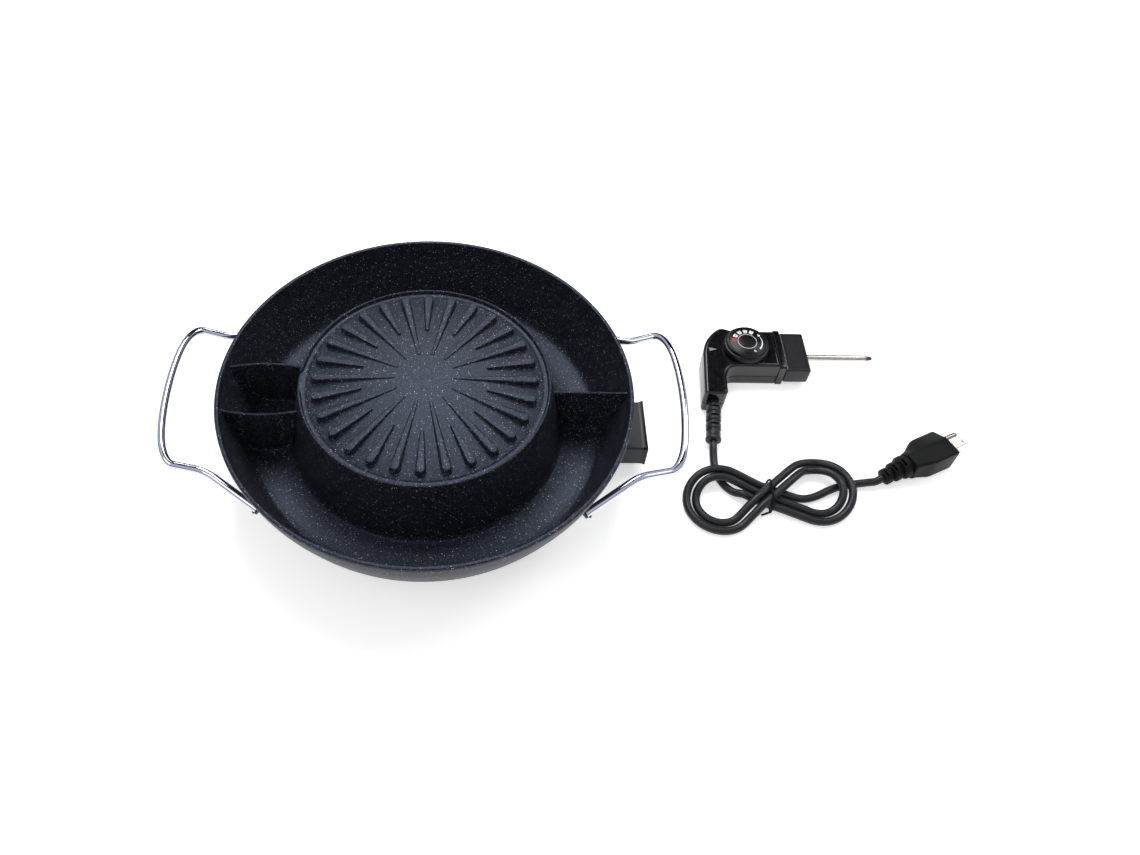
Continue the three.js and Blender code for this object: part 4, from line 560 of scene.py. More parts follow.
hollow = softened([*((radius, domeAt(radius) - pan["wall"]) for radius in pan["hollowDome"]), *pan["hollow"],
                   *((radius, underside, cut) for radius, cut in pan["hollowFoot"])], 5, closed=False)
skirt = softened([outerWall[-1], *pan["skirt"]], 3, closed=False)
castingProfile = (hollow + outerWall[1:] + skirt[1:] + rimLine + moatLine
                  + [(radius, domeAt(radius)) for radius in domeRadii[1:]])
panShells = [turned(castingProfile, pan["steps"])]

# Grill ribs: rounded drops, tall and blunt at the rim of the plate, fading to a line inwards.
rib = {"count": 28, "outer": 97.7, "outerHalf": 4, "innerHalf": 1.15, "long": 26, "short": 55,
       "topCentre": 10.6, "topEnd": 9.2, "arcSteps": 12, "tailSteps": 6, "sideSteps": 12, "sunk": 0.08,
       "levels": [(1, 0.9, 0), (1, 0.4, 0.07), (1, 0.15, 0.2), (1, 0, 0.5), (0.98, 0, 0.72), (0.92, 0, 0.89),
                  (0.8, 0, 0.975), (0.5, 0, 1), (0, 0.02, 1)]}


def ribTop(radius):
    share = radius / rib["outer"]
    return pan["rimHeight"] + rib["topCentre"] + (rib["topEnd"] - rib["topCentre"]) * share


def ribShell(index):
    start = (rib["short"] if index % 2 == 0 else rib["long"]) + rib["innerHalf"]
    tip = rib["outer"] - rib["outerHalf"]
    turn = math.pi / 2 + index * 2 * math.pi / rib["count"]
    rows = []
    for keep, grow, share in rib["levels"]:
        wide, thin = rib["outerHalf"] * keep + grow, rib["innerHalf"] * keep + grow
        lean = math.asin((wide - thin) / (tip - start))
        outline = [(tip + wide * math.cos(a), wide * math.sin(a)) for a in (
            (math.pi / 2 + lean) * (2 * k / rib["arcSteps"] - 1) for k in range(rib["arcSteps"] + 1))]
        inner = [(start + thin * math.cos(a), thin * math.sin(a)) for a in (
            math.pi / 2 + lean + (math.pi - 2 * lean) * k / rib["tailSteps"]
            for k in range(rib["tailSteps"] + 1))]
        upper = [(outline[-1][0] + (inner[0][0] - outline[-1][0]) * k / rib["sideSteps"],
                  outline[-1][1] + (inner[0][1] - outline[-1][1]) * k / rib["sideSteps"])
                 for k in range(1, rib["sideSteps"])]
        lower = [(x, -y) for x, y in reversed(upper)]
        row = []
        for x, y in outline + upper + inner + lower:
            radius = math.hypot(x, y)
            height = domeAt(radius) - rib["sunk"] + share * (ribTop(radius) - domeAt(radius) + rib["sunk"])
            row.append((x * math.cos(turn) - y * math.sin(turn), x * math.sin(turn) + y * math.cos(turn),
                        height))
        rows.append(row)
    return shell(rows, capEnd=False)


panShells += [ribShell(index) for index in range(rib["count"])]

# Lip round the plate, open to the left where fat runs off, its ends rounded and curled outwards.
lip = {"gap": 15, "steps": 220, "endMm": 4.5, "curlMm": 11, "curl": 1.9, "least": 0.0004, "middle": 107.4,
       "floor": 87.2,
       "section": [(109.4, 86.4), (109.3, 88.8, 1), (108.6, 91.1, 0.8), (106.9, 91.1, 0.8), (106.2, 88.6, 1),
                   (105.2, 87), (107, 86)]}
lipSection = softened(lip["section"], 4)
halfGap = lip["gap"] / 2 / lip["middle"]
lipTurn = 2 * math.pi - 2 * halfGap
lipRows = []
for step in range(lip["steps"] + 1):
    swing = math.pi + halfGap + lipTurn * step / lip["steps"]
    fromEnd = min(step, lip["steps"] - step) * lipTurn / lip["steps"] * lip["middle"]
    size = math.sqrt(max(1 - max(1 - fromEnd / lip["endMm"], 0) ** 2, lip["least"]))
    shift = lip["curl"] * max(1 - fromEnd / lip["curlMm"], 0) ** 2
    row = []
    for r, z in lipSection:
        radius = lip["middle"] + (r - lip["middle"]) * size + shift
        height = lip["floor"] + (z - lip["floor"]) * size
        row.append((radius * math.cos(swing), radius * math.sin(swing), height))
    lipRows.append(row)
panShells.append(shell(lipRows))

# Dividers across the moat: one to the right, a bowed pair to the left, filleted into the casting.
divider = {"top": 78, "half": 1.2, "spread": 24.3, "bow": 4, "nearest": 100, "full": 6, "least": 0.2,
           "section": [(2.6, -0.9), (1.7, 0.25), (1, 0.8), (0.45, 1.7), (0.12, 3)],
           "crown": [(1, 1.1, 0.7), (0.86, 0.5, 0.85), (0.5, 0.12, 0.96), (0, 0, 1)]}


def dividerShell(side, offset, bow):
    below = [(r, z) for r, z in moatLine if z < divider["top"] and r > divider["nearest"]]
    inner, outer = below[-1][0], below[0][0]

    def along(radius):
        return math.sqrt(radius ** 2 - offset ** 2)

    count = len(below) - 1
    middle, half = (along(inner) + along(outer)) / 2, (along(outer) - along(inner)) / 2
    rows = []
    for index, (radius, height) in enumerate(below):
        base = Vector((along(radius), height))
        share = index / count
        crown = Vector((along(outer) + (along(inner) - along(outer)) * share, divider["top"]))
        reach = max((crown - base).length, divider["least"])
        up = (crown - base) / reach
        shrink = min(1, reach / divider["full"])
        levels = [(divider["half"] + wide * shrink, lift * shrink) for wide, lift in divider["section"]]
        levels += [(divider["half"] * keep, max(reach - less, reach * least))
                   for keep, less, least in divider["crown"]]
        near, far = [], []
        for wide, lift in levels:
            spot = base + up * lift
            sweep = offset + bow * (1 - ((spot.x - middle) / half) ** 2)
            near.append((side * spot.x, side * (sweep + wide), spot.y))
            far.append((side * spot.x, side * (sweep - wide), spot.y))
        rows.append(near + far[-2::-1])
    return shell(rows)


panShells += [dividerShell(1, 0, 0), dividerShell(-1, divider["spread"], divider["bow"]),
              dividerShell(-1, -divider["spread"], -divider["bow"])]

# Lugs that hold the handle wires, and the bosses below.
lug = {"radius": 4, "length": 0.9, "cap": 0.6, "bore": 3.65, "seat": 0.3, "edge": 0.15, "round": 0.4}
handle = {"wire": 3.5, "corner": (213.1, 74.9, 70.4), "knee": (182.2, 74.7, 58.9), "end": (135, 105.8, 48.45),
          "bow": 225.8, "grip": 78.8, "cornerCut": 14, "kneeCut": 10, "sides": 28, "cornerSteps": 12,
          "kneeSteps": 8, "bowSteps": 30}
foot = {"circle": 137, "first": 45, "bossRadius": 5.6, "bossDrop": 10, "play": 0.3,
        "profile": [(0, 6), (4.3, 6), (4.8, 5.4), (4.8, 0.5), (5.3, 0), (10.4, 0), (11.5, 0.35), (11.95, 1.4),
                    (11.75, 4), (11.55, 4.3), (11.6, 5)],
        "neck": [(10.5, 1), (10.2, 0.3), (9.6, 0), (0, 0)], "steps": 56}
boss = {"shield": (52, 4.6, 83.7, 92), "sink": 1.5, "edge": 0.6,
        "ear": [(0, 20.7), (4.9, 20.7), (5.5, 21.3), (5.5, 28), (0, 28)], "earSpot": (150, 34),
        "saddle": [(116, -8.5, 1.5), (140, -8.5, 1.5), (140, 8.5, 1.5), (116, 8.5, 1.5)],
        "saddleLevels": [(0.6, 15.7), (0, 16.3), (0, 26)]}
bossList = [(foot["circle"], foot["bossRadius"], underside - foot["bossDrop"], underside + boss["sink"]),
            boss["shield"]]
lugLine = [(0, lug["seat"]), (lug["bore"], lug["seat"])] + softened([
    (lug["bore"], -lug["length"]), (lug["radius"], -lug["length"], lug["edge"]),
    (lug["radius"], lug["cap"], lug["round"]), (0, lug["cap"])], 4, closed=False)
for side in (-1, 1):
    for end in (-1, 1):
        tip, knee = (Vector((side * x, end * y, z)) for x, y, z in (handle["end"], handle["knee"]))
        panShells.append(turned(lugLine, 36, tip, tip - knee))
for circle, radius, low, high in bossList:
    profile = [(0, low), (radius - boss["edge"], low), (radius, low + boss["edge"]), (radius, high), (0, high)]
    for k in range(4):
        angle = math.radians(foot["first"] + 90 * k)
        panShells.append(turned(profile, 28, (circle * math.cos(angle), circle * math.sin(angle), 0)))
for side in (-1, 1):
    panShells.append(turned(boss["ear"], 28, (boss["earSpot"][0], side * boss["earSpot"][1], 0)))
panShells.append(raised(softened(boss["saddle"]), boss["saddleLevels"]))
makePiece("casting", panShells, coat, "pan", ["pan_casting"], crease=38)
print("pan cast, with", rib["count"], "ribs and three dividers")


def bezier(corners, steps):  # points on the curve that the corners pull on
    line = []
    for k in range(steps + 1):
        points = corners
        while len(points) > 1:
            points = [a.lerp(b, k / steps) for a, b in zip(points, points[1:])]
        line.append(points[0])
    return line


def handleLine(side):
    def leg(end):
        corner, knee, tip = (Vector((side * x, end * y, z)) for x, y, z in
                             (handle["corner"], handle["knee"], handle["end"]))
        bowEdge = Vector((side * handle["bow"], end * handle["corner"][1] / 2, handle["grip"]))
        gripEnd = corner + (bowEdge - corner).normalized() * handle["cornerCut"]
        legStart = corner + (knee - corner).normalized() * handle["cornerCut"] / 2
        kneeStart = knee + (corner - knee).normalized() * handle["kneeCut"]
        kneeEnd = knee + (tip - knee).normalized() * handle["kneeCut"]
        line = bezier((gripEnd, corner, legStart), handle["cornerSteps"]) + [legStart.lerp(kneeStart, 0.5)]
        line += bezier((kneeStart, knee, kneeEnd), handle["kneeSteps"])
        return line + [kneeEnd.lerp(tip, 0.5), tip], gripEnd, bowEdge
    first, startGrip, startBow = leg(-1)
    last, endGrip, endBow = leg(1)
    bow = bezier((startGrip, startBow, endBow, endGrip), handle["bowSteps"])[1:-1]
    return list(reversed(first)) + bow + last


for side, name in ((-1, "handle_left"), (1, "handle_right")):
    makePiece(name + "_wire", [swept(handleLine(side), handle["wire"], handle["sides"])], chrome, "pan",
              [name], crease=60)
print("handles bent")

for k, name in enumerate(("rear_right", "rear_left", "front_left", "front_right")):
    angle = math.radians(foot["first"] + 90 * k)
    spot = (foot["circle"] * math.cos(angle), foot["circle"] * math.sin(angle), 0)
    top = underside - foot["play"]
    profile = foot["profile"] + [(radius, top - drop) for radius, drop in foot["neck"]]
    makePiece(f"foot_{name}_moulding", [turned(profile, foot["steps"], spot)], phenolic, "pan",
              [f"foot_{name}"], crease=40)
print("feet moulded")

# Socket for the control, on the right: an open box with a flared lip whose deep black is painted shade, two
# pins and a guide tube.
socket = {"axis": 20, "wide": 26.9, "rise": 11.9, "pins": 16,
          "pin": [(0, 158), (2.4, 158), (2.4, 186.2), (2.1, 187.2), (1.5, 187.8), (0, 188)],
          "walls": [(163, 0.8, 2), (163.3, 0.2, 2.2), (164, 0, 2.2), (193.4, 0, 2.2)],
          "flare": [(193.4, 0, 0, 0, 2.2), (194.8, 0.15, 0.15, 0, 2.2), (196.2, 0.55, 0.55, 0, 2.2),
                    (197.5, 1.15, 1.15, 0, 2), (198, 0.9, 0.9, -0.3, 1.8), (198, -1.6, -1.6, -1.6, 1.2),
                    (197.4, -2.2, -2.2, -2.2, 1), (168, -2.2, -2.2, -2.2, 1)],
          "guide": [(3.6, 113), (3.6, 169.5), (3.8, 170), (4.1, 170), (4.3, 169.6), (4.3, 112.3), (4, 112),
                    (0, 112), (0, 113)]}
ear = {"x": 150, "y": 34, "arm": 28.5, "armEnd": 168, "half": 5.5, "rootCut": 5, "endCut": 1,
       "levels": [(0.5, 16.4), (0, 16.9), (0, 19.9), (0.5, 20.4)]}


def socketRow(x, wide, up, down, cut):
    low, high = socket["axis"] - down, socket["axis"] + up
    return [(x, y, z) for y, z in softened([(-wide, low, cut), (wide, low, cut), (wide, high, cut),
                                            (-wide, high, cut)], 5)]


outerRows = [socketRow(x, socket["wide"] - less, socket["rise"] - less, socket["rise"] - less, cut)
             for x, less, cut in socket["walls"]]
flareRows = [socketRow(x, socket["wide"] + wide, socket["rise"] + up, socket["rise"] + down, cut)
             for x, wide, up, down, cut in socket["flare"]]
ears = []
for side in (-1, 1):
    near, far = side * ear["arm"] - ear["half"], side * ear["arm"] + ear["half"]
    ears.append(raised(softened([(ear["x"], near, ear["rootCut"]), (ear["armEnd"], near),
                                 (ear["armEnd"], far, ear["endCut"]), (ear["x"], far, ear["rootCut"])]),
                       ear["levels"]))
earProfile = [(0, ear["levels"][0][1]), *((ear["half"] - inset, height) for inset, height in ear["levels"]),
              (0, ear["levels"][-1][1])]
ears += [turned(earProfile, 32, (ear["x"], side * ear["y"], 0)) for side in (-1, 1)]
makePiece("socket_housing", [shell(outerRows, capEnd=False), *ears], phenolic, "pan", ["terminal_housing"],
          crease=36)
# The lip's darker phenolic is painted shade, not a different moulding colour.
makePiece("socket_lip", [shell(flareRows, capStart=False)], phenolicLipPaintedShade, "pan", ["terminal_housing"],
          crease=36)
for k, side in enumerate((-1, 1)):
    makePiece(f"terminal_pin_{k + 1}_turned", [turned(
        socket["pin"], 32, (0, side * socket["pins"], socket["axis"]), (1, 0, 0))], nickel, "pan",
        [f"terminal_pin_{k + 1}"])
makePiece("probe_guide", [turned(socket["guide"], 36, (0, 0, socket["axis"]), (1, 0, 0))], steelStrip, "pan",
          ["probe_guide_tube"])
print("socket fitted")

# Control case: two halves with a bevelled edge and a hump round the dial, a proud ridge, a terminal head.
case = {"ridge": 336, "low": 75.2, "high": 120.8, "axis": 14,
        "hump": [(299, 120.8), (295, 121.1), (291.6, 122.6), (288, 123.9), (284, 123.9), (280, 121.6),
                 (272.7, 113.9), (266.9, 103.6), (263.7, 92)],
        "stem": [(263.7, 92), (258.6, 41, 5), (280.8, 41, 5), (283, 75.2, 14), (336, 75.2)],
        "topLevels": [(2.2, 25.8), (2.2, 12.2), (0.35, 12.2), (0, 12.55), (0, 25.4), (0.25, 26.3),
                      (1.9, 27.75), (2.5, 28), (3.4, 28), (3.6, 27.85), (3.95, 27.85), (4.15, 28)],
        "baseLevels": [(2.2, 2.2), (2.2, 11.7), (0.45, 11.7), (0.1, 11.35), (0.1, 10.4), (0.35, 3), (0.7, 1),
                       (1.1, 0.3), (1.9, 0)],
        "screws": [(277.15, 61.2), (321.5, 115.45), (321.5, 80.55)],
        "screwWell": [(0, -2), (4.1, -2), (4.1, 3.2), (0, 3.2)]}
caseOutline = ([(case["ridge"], case["low"]), (case["ridge"], case["high"])]
               + [tuple(p) for p in curveThrough(case["hump"], 4)]
               + softened(case["stem"], 12, closed=False)[1:-1])
makePiece("case_top", [raised(caseOutline, case["topLevels"])], glossCase, "control", ["case_upper"],
          crease=30)
screwWells = [turned(case["screwWell"], 32, (*spot, 0)) for spot in case["screws"]]
makePiece("case_base", [raised(caseOutline, case["baseLevels"])], glossCase, "control", ["case_lower"],
          crease=30, cuts=[screwWells])
ridge = {"low": 73.6, "high": 122.4, "bottom": 1.6, "top": 27.4, "lowCut": 1.6, "highCut": 3,
         "levels": [(335.6, 0.4), (336.2, 0), (340.6, 0), (341.4, 0.25), (342, 1.1)]}
ridgeRows = [[(x, y, z) for y, z in softened([
    (ridge["low"] + inset, ridge["bottom"] + inset, ridge["lowCut"]),
    (ridge["high"] - inset, ridge["bottom"] + inset, ridge["lowCut"]),
    (ridge["high"] - inset, ridge["top"] - inset, ridge["highCut"]),
    (ridge["low"] + inset, ridge["top"] - inset, ridge["highCut"])], 5)] for x, inset in ridge["levels"]]
makePiece("case_ridge", [shell(ridgeRows)], glossCase, "control", ["case_upper"], crease=30)
head = {"from": 342.3, "to": 366, "low": 74, "high": 122, "cut": 2, "leastCut": 0.3, "pins": 16,
        "bore": [(0, -1), (2.7, -1), (2.7, 14), (0, 14)],
        "levels": [(1.2, 5), (0.4, 5.4), (0, 6.2), (0, 21.6), (0.4, 22.5), (1.3, 23), (2.5, 23), (2.8, 22.6),
                   (3.2, 22.6), (3.5, 23)]}
headRows = []
for inset, height in head["levels"]:
    cut = max(head["cut"] - inset / 2, head["leastCut"])
    left, right = head["from"] + inset, head["to"] - inset
    low, high = head["low"] + inset, head["high"] - inset
    headRows.append([(x, y, height) for x, y in softened([
        (left, low, cut), (right, low, cut), (right, high, cut), (left, high, cut)], 5)])
headBores = [turned(head["bore"], 32, (head["to"], dialPlace["y"] + side * head["pins"], case["axis"]),
                    (-1, 0, 0)) for side in (-1, 1)]
makePiece("head_block", [shell(headRows)], satinCase, "control", ["terminal_head"], crease=30,
          cuts=[headBores])
mark = {"outline": [(269.8, 93.2), (277.4, 95.5), (269.8, 97.8)], "levels": [(0, 27.95), (0, 28.06)]}
makePiece("index_mark", [raised(mark["outline"], mark["levels"])], inks["grey"], "control")
probe = {"profile": [(0, 322), (3.2, 322), (3.2, 424.6), (3.05, 425.2), (2.75, 425.9), (1.9, 430.4),
                     (1.7, 431.2), (1.2, 431.8), (0, 432)]}
probeShell = turned(probe["profile"], 40, (0, dialPlace["y"], case["axis"]), (1, 0, 0))
makePiece("probe_rod", [probeShell], probeSteel, "control", ["probe_tube"], crease=50)
print("control case closed")

# Dial: a knurled skirt, a raised face with a fine ring, and printed marks.
dial = {"teeth": 56, "tooth": 0.55, "sides": 6, "face": 37.2,
        "profile": [(0, 28.6, 0), (19.4, 28.6, 0), (20.9, 28.6, 0.5), (21.45, 29, 1), (21.6, 29.6, 1),
                    (21.6, 33, 1), (21.3, 33.7, 0.7), (20.7, 34, 0.2), (19.6, 34.1, 0), (19.25, 34.4, 0),
                    (18.95, 36.4, 0), (18.6, 37, 0), (18, 37.2, 0), (17.3, 37.2, 0), (17, 36.95, 0),
                    (16.6, 36.95, 0), (16.3, 37.15, 0), (0, 37.2, 0)]}
dialRows = []
count = dial["teeth"] * dial["sides"]
for radius, height, share in dial["profile"]:
    row = []
    for k in range(count):
        angle = 2 * math.pi * k / count
        wave = (1 - math.cos(angle * dial["teeth"])) / 2
        size = radius - dial["tooth"] * share * wave ** 2
        row.append((dialPlace["x"] + size * math.cos(angle), dialPlace["y"] + size * math.sin(angle), height))
    dialRows.append(row)
makePiece("dial_knob", [shell(dialRows, capStart=False, capEnd=False)], dialPlastic, "dial", ["dial"],
          crease=35)
dialPrint = {"from": 10.5, "to": 14.4, "cells": [(173, "5", True), (146, "4", False), (118.5, "3", False),
                                                 (91.5, "2", False), (65, "1", False)],
             "cellHalf": 8.3, "digitRadius": 12.4, "ring": (8.75, 9.15), "arc": (-41, 30), "arcRadius": 14.2,
             "arcThin": 0.12, "arcWide": 0.74, "headHalf": 1.35, "headLap": 1, "headTurn": 10,
             "zero": (-65, 13.2), "ink": 0.06, "sunk": 0.05, "digit": 4, "digitDepth": 0.04, "digitBold": 0.03}


def onDial(radius, degreesRound, height):
    angle = math.radians(degreesRound)
    return (dialPlace["x"] + radius * math.cos(angle), dialPlace["y"] + radius * math.sin(angle), height)


def ringPatch(inner, outer, start, stop, height, steps=12):
    rows = []
    for k in range(steps + 1):
        share = k / steps
        angle = start + (stop - start) * share
        near, far = (edge(share) if callable(edge) else edge for edge in (inner, outer))
        low, high = height - dialPrint["sunk"], height + dialPrint["ink"]
        rows.append([onDial(radius, angle, level)
                     for radius, level in ((near, low), (far, low), (far, high), (near, high))])
    return shell(rows)


def digitPiece(name, text, radius, degreesRound, finish, height):
    curve = bpy.data.curves.new(name, "FONT")
    curve.body = text
    curve.size = dialPrint["digit"] * mm
    curve.align_x, curve.align_y = "CENTER", "CENTER"
    curve.extrude = dialPrint["digitDepth"] * mm
    curve.offset = dialPrint["digitBold"] * mm
    maker = bpy.data.objects.new(name + "_text", curve)
    scene.collection.objects.link(maker)
    mesh = bpy.data.meshes.new_from_object(maker.evaluated_get(bpy.context.evaluated_depsgraph_get()))
    bpy.data.objects.remove(maker)
    spot = home(onDial(radius, degreesRound, height))
    mesh.transform(Matrix.Translation(spot) @ Matrix.Rotation(math.radians(degreesRound - 90), 4, "Z"))
    mesh.materials.clear()
    mesh.materials.append(finish)
    piece = bpy.data.objects.new(name, mesh)
    scene.collection.objects.link(piece)
    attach(piece, "dial")


face = dial["face"]
for angle, digit, isRed in dialPrint["cells"]:
    cell = ringPatch(dialPrint["from"], dialPrint["to"], angle - dialPrint["cellHalf"],
                     angle + dialPrint["cellHalf"], face, 6)
    ink = "red" if isRed else "white"
    makePiece(f"dial_cell_{digit}", [cell], inks[ink], "dial")
    digitPiece(f"dial_number_{digit}", digit, dialPrint["digitRadius"], angle, inks["black"],
               face + dialPrint["ink"])
digitPiece("dial_number_0", "0", dialPrint["zero"][1], dialPrint["zero"][0], inks["white"],
           face + dialPrint["digitDepth"])


def taper(side, wide, thin):  # one edge of the arrow, wide at its start and thin at its end
    return lambda share: dialPrint["arcRadius"] + side * (thin + (wide - thin) * (1 - share))


start, stop = dialPrint["arc"]
wide, thin = dialPrint["arcWide"], dialPrint["arcThin"]
arrow = [ringPatch(*dialPrint["ring"], 0, 360, face, 96),
         ringPatch(taper(-1, wide, thin), taper(1, wide, thin), start, stop, face, 24),
         ringPatch(taper(-1, dialPrint["headHalf"], 0), taper(1, dialPrint["headHalf"], 0),
                   stop - dialPrint["headLap"], stop + dialPrint["headTurn"], face, 4)]
makePiece("dial_arrow", arrow, inks["white"], "dial")
print("dial printed")

# Strain relief: rings with notches cut alternately from above and from the sides.
relief = {"rings": 4, "neckLength": 4, "waist": 5.9, "core": 4.5, "notchReach": 9,
          "flange": [(0, -5.7), (7, -5.7), (7, -3.7), (5.2, -3.7), (5.2, 4)],
          "ring": [(6.3, 0.02), (6.85, 0.05), (7, 0.1), (6.95, 0.7), (6.75, 0.76), (6, 0.8)],
          "lastRing": [(6.2, 0.02), (6.6, 0.05), (6.7, 0.1), (6.65, 0.56), (7, 0.62), (7.25, 0.7),
                       (7.25, 0.9), (7, 0.97)],
          "mouth": [(5, 0.1), (4.4, 0), (0, 0)],
          "notches": [(0.3, 0.12, 3.4, "up"), (0.9, 0.13, 4.4, "side")]}
reliefLength = (reliefMouth - Vector(cord["reliefStart"])).length
pitch = (reliefLength - relief["neckLength"]) / relief["rings"]
reliefProfile = list(relief["flange"])
for k in range(relief["rings"]):
    at = relief["neckLength"] + k * pitch
    last = k == relief["rings"] - 1
    shape = relief["lastRing"] if last else relief["ring"]
    reliefProfile += [(radius, at + share * pitch) for radius, share in shape]
    if not last:
        reliefProfile.append((relief["waist"], at + pitch))
reliefProfile += [(radius, reliefLength - before) for radius, before in relief["mouth"]]
reliefUp, reliefSide = acrossAxis(reliefAlong)
notches = []
for k in range(relief["rings"] - 1):
    for share, half, wideHalf, way in relief["notches"]:
        middle = Vector(cord["reliefStart"]) + reliefAlong * (relief["neckLength"] + (k + share) * pitch)
        out, wide = (reliefUp, reliefSide) if way == "up" else (reliefSide, reliefUp)
        notches += notchPair(middle, reliefAlong * pitch * half, wide * wideHalf, out,
                             (relief["core"], relief["notchReach"]))
makePiece("relief_sleeve", [turned(reliefProfile, 40, cord["reliefStart"], reliefAlong)], reliefVinyl,
          "control", ["strain_relief"], crease=35, cuts=[notches])
print("relief moulded")

# Plug: a ringed boot, a creased body that widens to its face, two flat blades and a round ground pin.
plugLook = {"neck": [(-10.9, -10.9), (3.4, -10.9), (10.9, -4), (10.9, 4), (3.4, 10.9), (-10.9, 10.9)],
            "full": [(-14.55, -12.5), (3.6, -12.5), (18.45, -4.4), (18.45, 4.4), (3.6, 12.5), (-14.55, 12.5)],
            "rows": [(25.5, 0, 1.1, 4), (26.4, 0, 0.3, 4), (27.4, 0, 0, 4), (30, 0.06, 0, 3.8),
                     (33, 0.22, 0, 3.4), (37, 0.52, 0, 3), (41, 0.83, 0, 2.6), (43, 0.94, 0, 2.4),
                     (45.5, 0.99, 0, 2.2), (48, 1, 0, 2.2), (68.1, 1, 0, 2), (68.75, 1, 0.25, 1.9),
                     (69, 1, 0.9, 1.6)],
            "boot": (5.2, 9.4), "bootStart": [(0, 0), (4.4, 0)], "bootEnd": [(6, 30), (0, 30)], "rings": 3,
            "rise": 0.8, "collar": 0.5, "bootCore": 4.6, "coreStep": 1.2, "notchReach": 12,
            "ring": [(-1.2, 0.05), (-0.3, 0.6), (0, 1.4), (0, 5.4), (-0.3, 6.1), (-1.3, 6.4), (-1.5, 9)],
            "notches": [(2.6, 1.1, 3.6, "up"), (7.7, 1.2, 4.6, "side")]}


def plugRow(distance, share, inset, cut):
    corners = [(a[0] + (b[0] - a[0]) * share, a[1] + (b[1] - a[1]) * share, cut)
               for a, b in zip(plugLook["neck"], plugLook["full"])]
    return [(distance, y, z + plug["axis"]) for y, z in moved(softened(corners, 6), -inset)]


def onPlug(shellParts):
    return laidAlong(shellParts, (*plug["start"], 0), plugTurn)


plugRows = [plugRow(*row) for row in plugLook["rows"]]
bootPitch = plug["bootLength"] / plugLook["rings"]
bootProfile = list(plugLook["bootStart"])
thin, thick = plugLook["boot"]
bootUp, bootSide = acrossAxis(bootAlong)
bootNotches = []
for k in range(plugLook["rings"]):
    wide = thin + (thick - thin) * (k + 1) / plugLook["rings"] + plugLook["rise"]
    if k == plugLook["rings"] - 1:
        wide += plugLook["collar"]
    bootProfile += [(wide + change, k * bootPitch + along) for change, along in plugLook["ring"]]
    for along, half, wideHalf, way in plugLook["notches"]:
        out, across = (bootUp, bootSide) if way == "up" else (bootSide, bootUp)
        bootNotches += notchPair(plugStart + bootAlong * (k * bootPitch + along), bootAlong * half,
                                 across * wideHalf, out,
                                 (plugLook["bootCore"] + k * plugLook["coreStep"], plugLook["notchReach"]))
bootProfile += plugLook["bootEnd"]
plugPiece = makePiece("plug_moulding", [onPlug(shell(plugRows))], plugVinyl, "control", ["plug_body"],
                      crease=24)
bootPiece = makePiece("plug_boot", [turned(bootProfile, 40, plugStart, bootAlong)], plugVinyl, "control",
                      ["plug_body"], crease=35, cuts=[bootNotches])
blade = {"outline": [(64, -7.2), (85.4, -7.2, 0.01), (86.6, -6.2, 0.6), (86.6, -1.8, 0.6), (85.4, -0.8, 0.01),
                     (64, -0.8)],
         "levels": [(0.2, -0.75), (0, -0.55), (0, 0.55), (0.2, 0.75)], "spread": 6.35,
         "hole": [(0, -2), (1.6, -2), (1.6, 2), (0, 2)], "holeAt": (82.7, -4),
         "pin": [(0, 64), (2.4, 64), (2.4, 87.4), (2.25, 88.6), (1.8, 89.6), (1, 90.2), (0, 90.4)],
         "pinSide": 7.9}
bladeOutline = softened(blade["outline"], 4)
for k, side in enumerate((-1, 1)):
    level = plug["axis"] + side * blade["spread"]
    strip = onPlug(raised(bladeOutline, [(inset, level + height) for inset, height in blade["levels"]]))
    hole = onPlug(turned([(radius, level + height) for radius, height in blade["hole"]], 28,
                         (*blade["holeAt"], 0)))
    makePiece(f"blade_{k + 1}", [strip], nickel, "control", [f"plug_blade_{k + 1}"],
                                 crease=35, cuts=[[hole]])
groundPin = onPlug(turned(blade["pin"], 36, (0, blade["pinSide"], plug["axis"]), (1, 0, 0)))
groundPiece = makePiece("ground_pin", [groundPin], nickel, "control", ["plug_ground_pin"],
                        crease=50)

# Twist tie: two thin strands round the crossing, their ends twisted together.
tie = {"wire": 0.5, "apart": 0.56, "under": 13.94, "over": 11.03, "low": 0.95, "bend": 8.4, "top": 17.7,
       "lowCut": 1.5, "highCut": 3.6, "tail": 9, "tailTurn": 200, "twists": 3, "twistRadius": 0.55,
       "tailHeight": 1.3, "steps": 60, "sides": 8}
tieLine = softened([
    (tie["under"], tie["low"], tie["lowCut"]), (tie["under"], tie["bend"], tie["highCut"]),
    (tie["over"], tie["top"], tie["highCut"]), (-tie["over"], tie["top"], tie["highCut"]),
    (-tie["under"], tie["bend"], tie["highCut"]), (-tie["under"], tie["low"], tie["lowCut"])], 6)
tieShells = []
for side in (-1, 1):
    loop = [Vector((hank["centre"][0] + side * tie["apart"], hank["centre"][1] + y, z)) for y, z in tieLine]
    tieShells.append(swept(loop + [loop[0]], tie["wire"], tie["sides"]))
tailTurn = math.radians(tie["tailTurn"])
tailStart = Vector((hank["centre"][0], hank["centre"][1] - tie["under"], tie["tailHeight"]))
tailAlong = Vector((math.cos(tailTurn), math.sin(tailTurn), 0))
tailSide = Vector((-tailAlong.y, tailAlong.x, 0))
for side in (-1, 1):
    strand = []
    for k in range(tie["steps"] + 1):
        spin = 2 * math.pi * tie["twists"] * k / tie["steps"] + (math.pi if side > 0 else 0)
        strand.append(tailStart + tailAlong * (tie["tail"] * k / tie["steps"])
                      + tailSide * (tie["twistRadius"] * math.cos(spin))
                      + Vector((0, 0, tie["twistRadius"] * math.sin(spin))))
    tieShells.append(swept(strand, tie["wire"], tie["sides"]))
tiePiece = makePiece("twist_tie", tieShells, plugVinyl, "control", ["cord_tie"], crease=60)
print("plug and tie done")

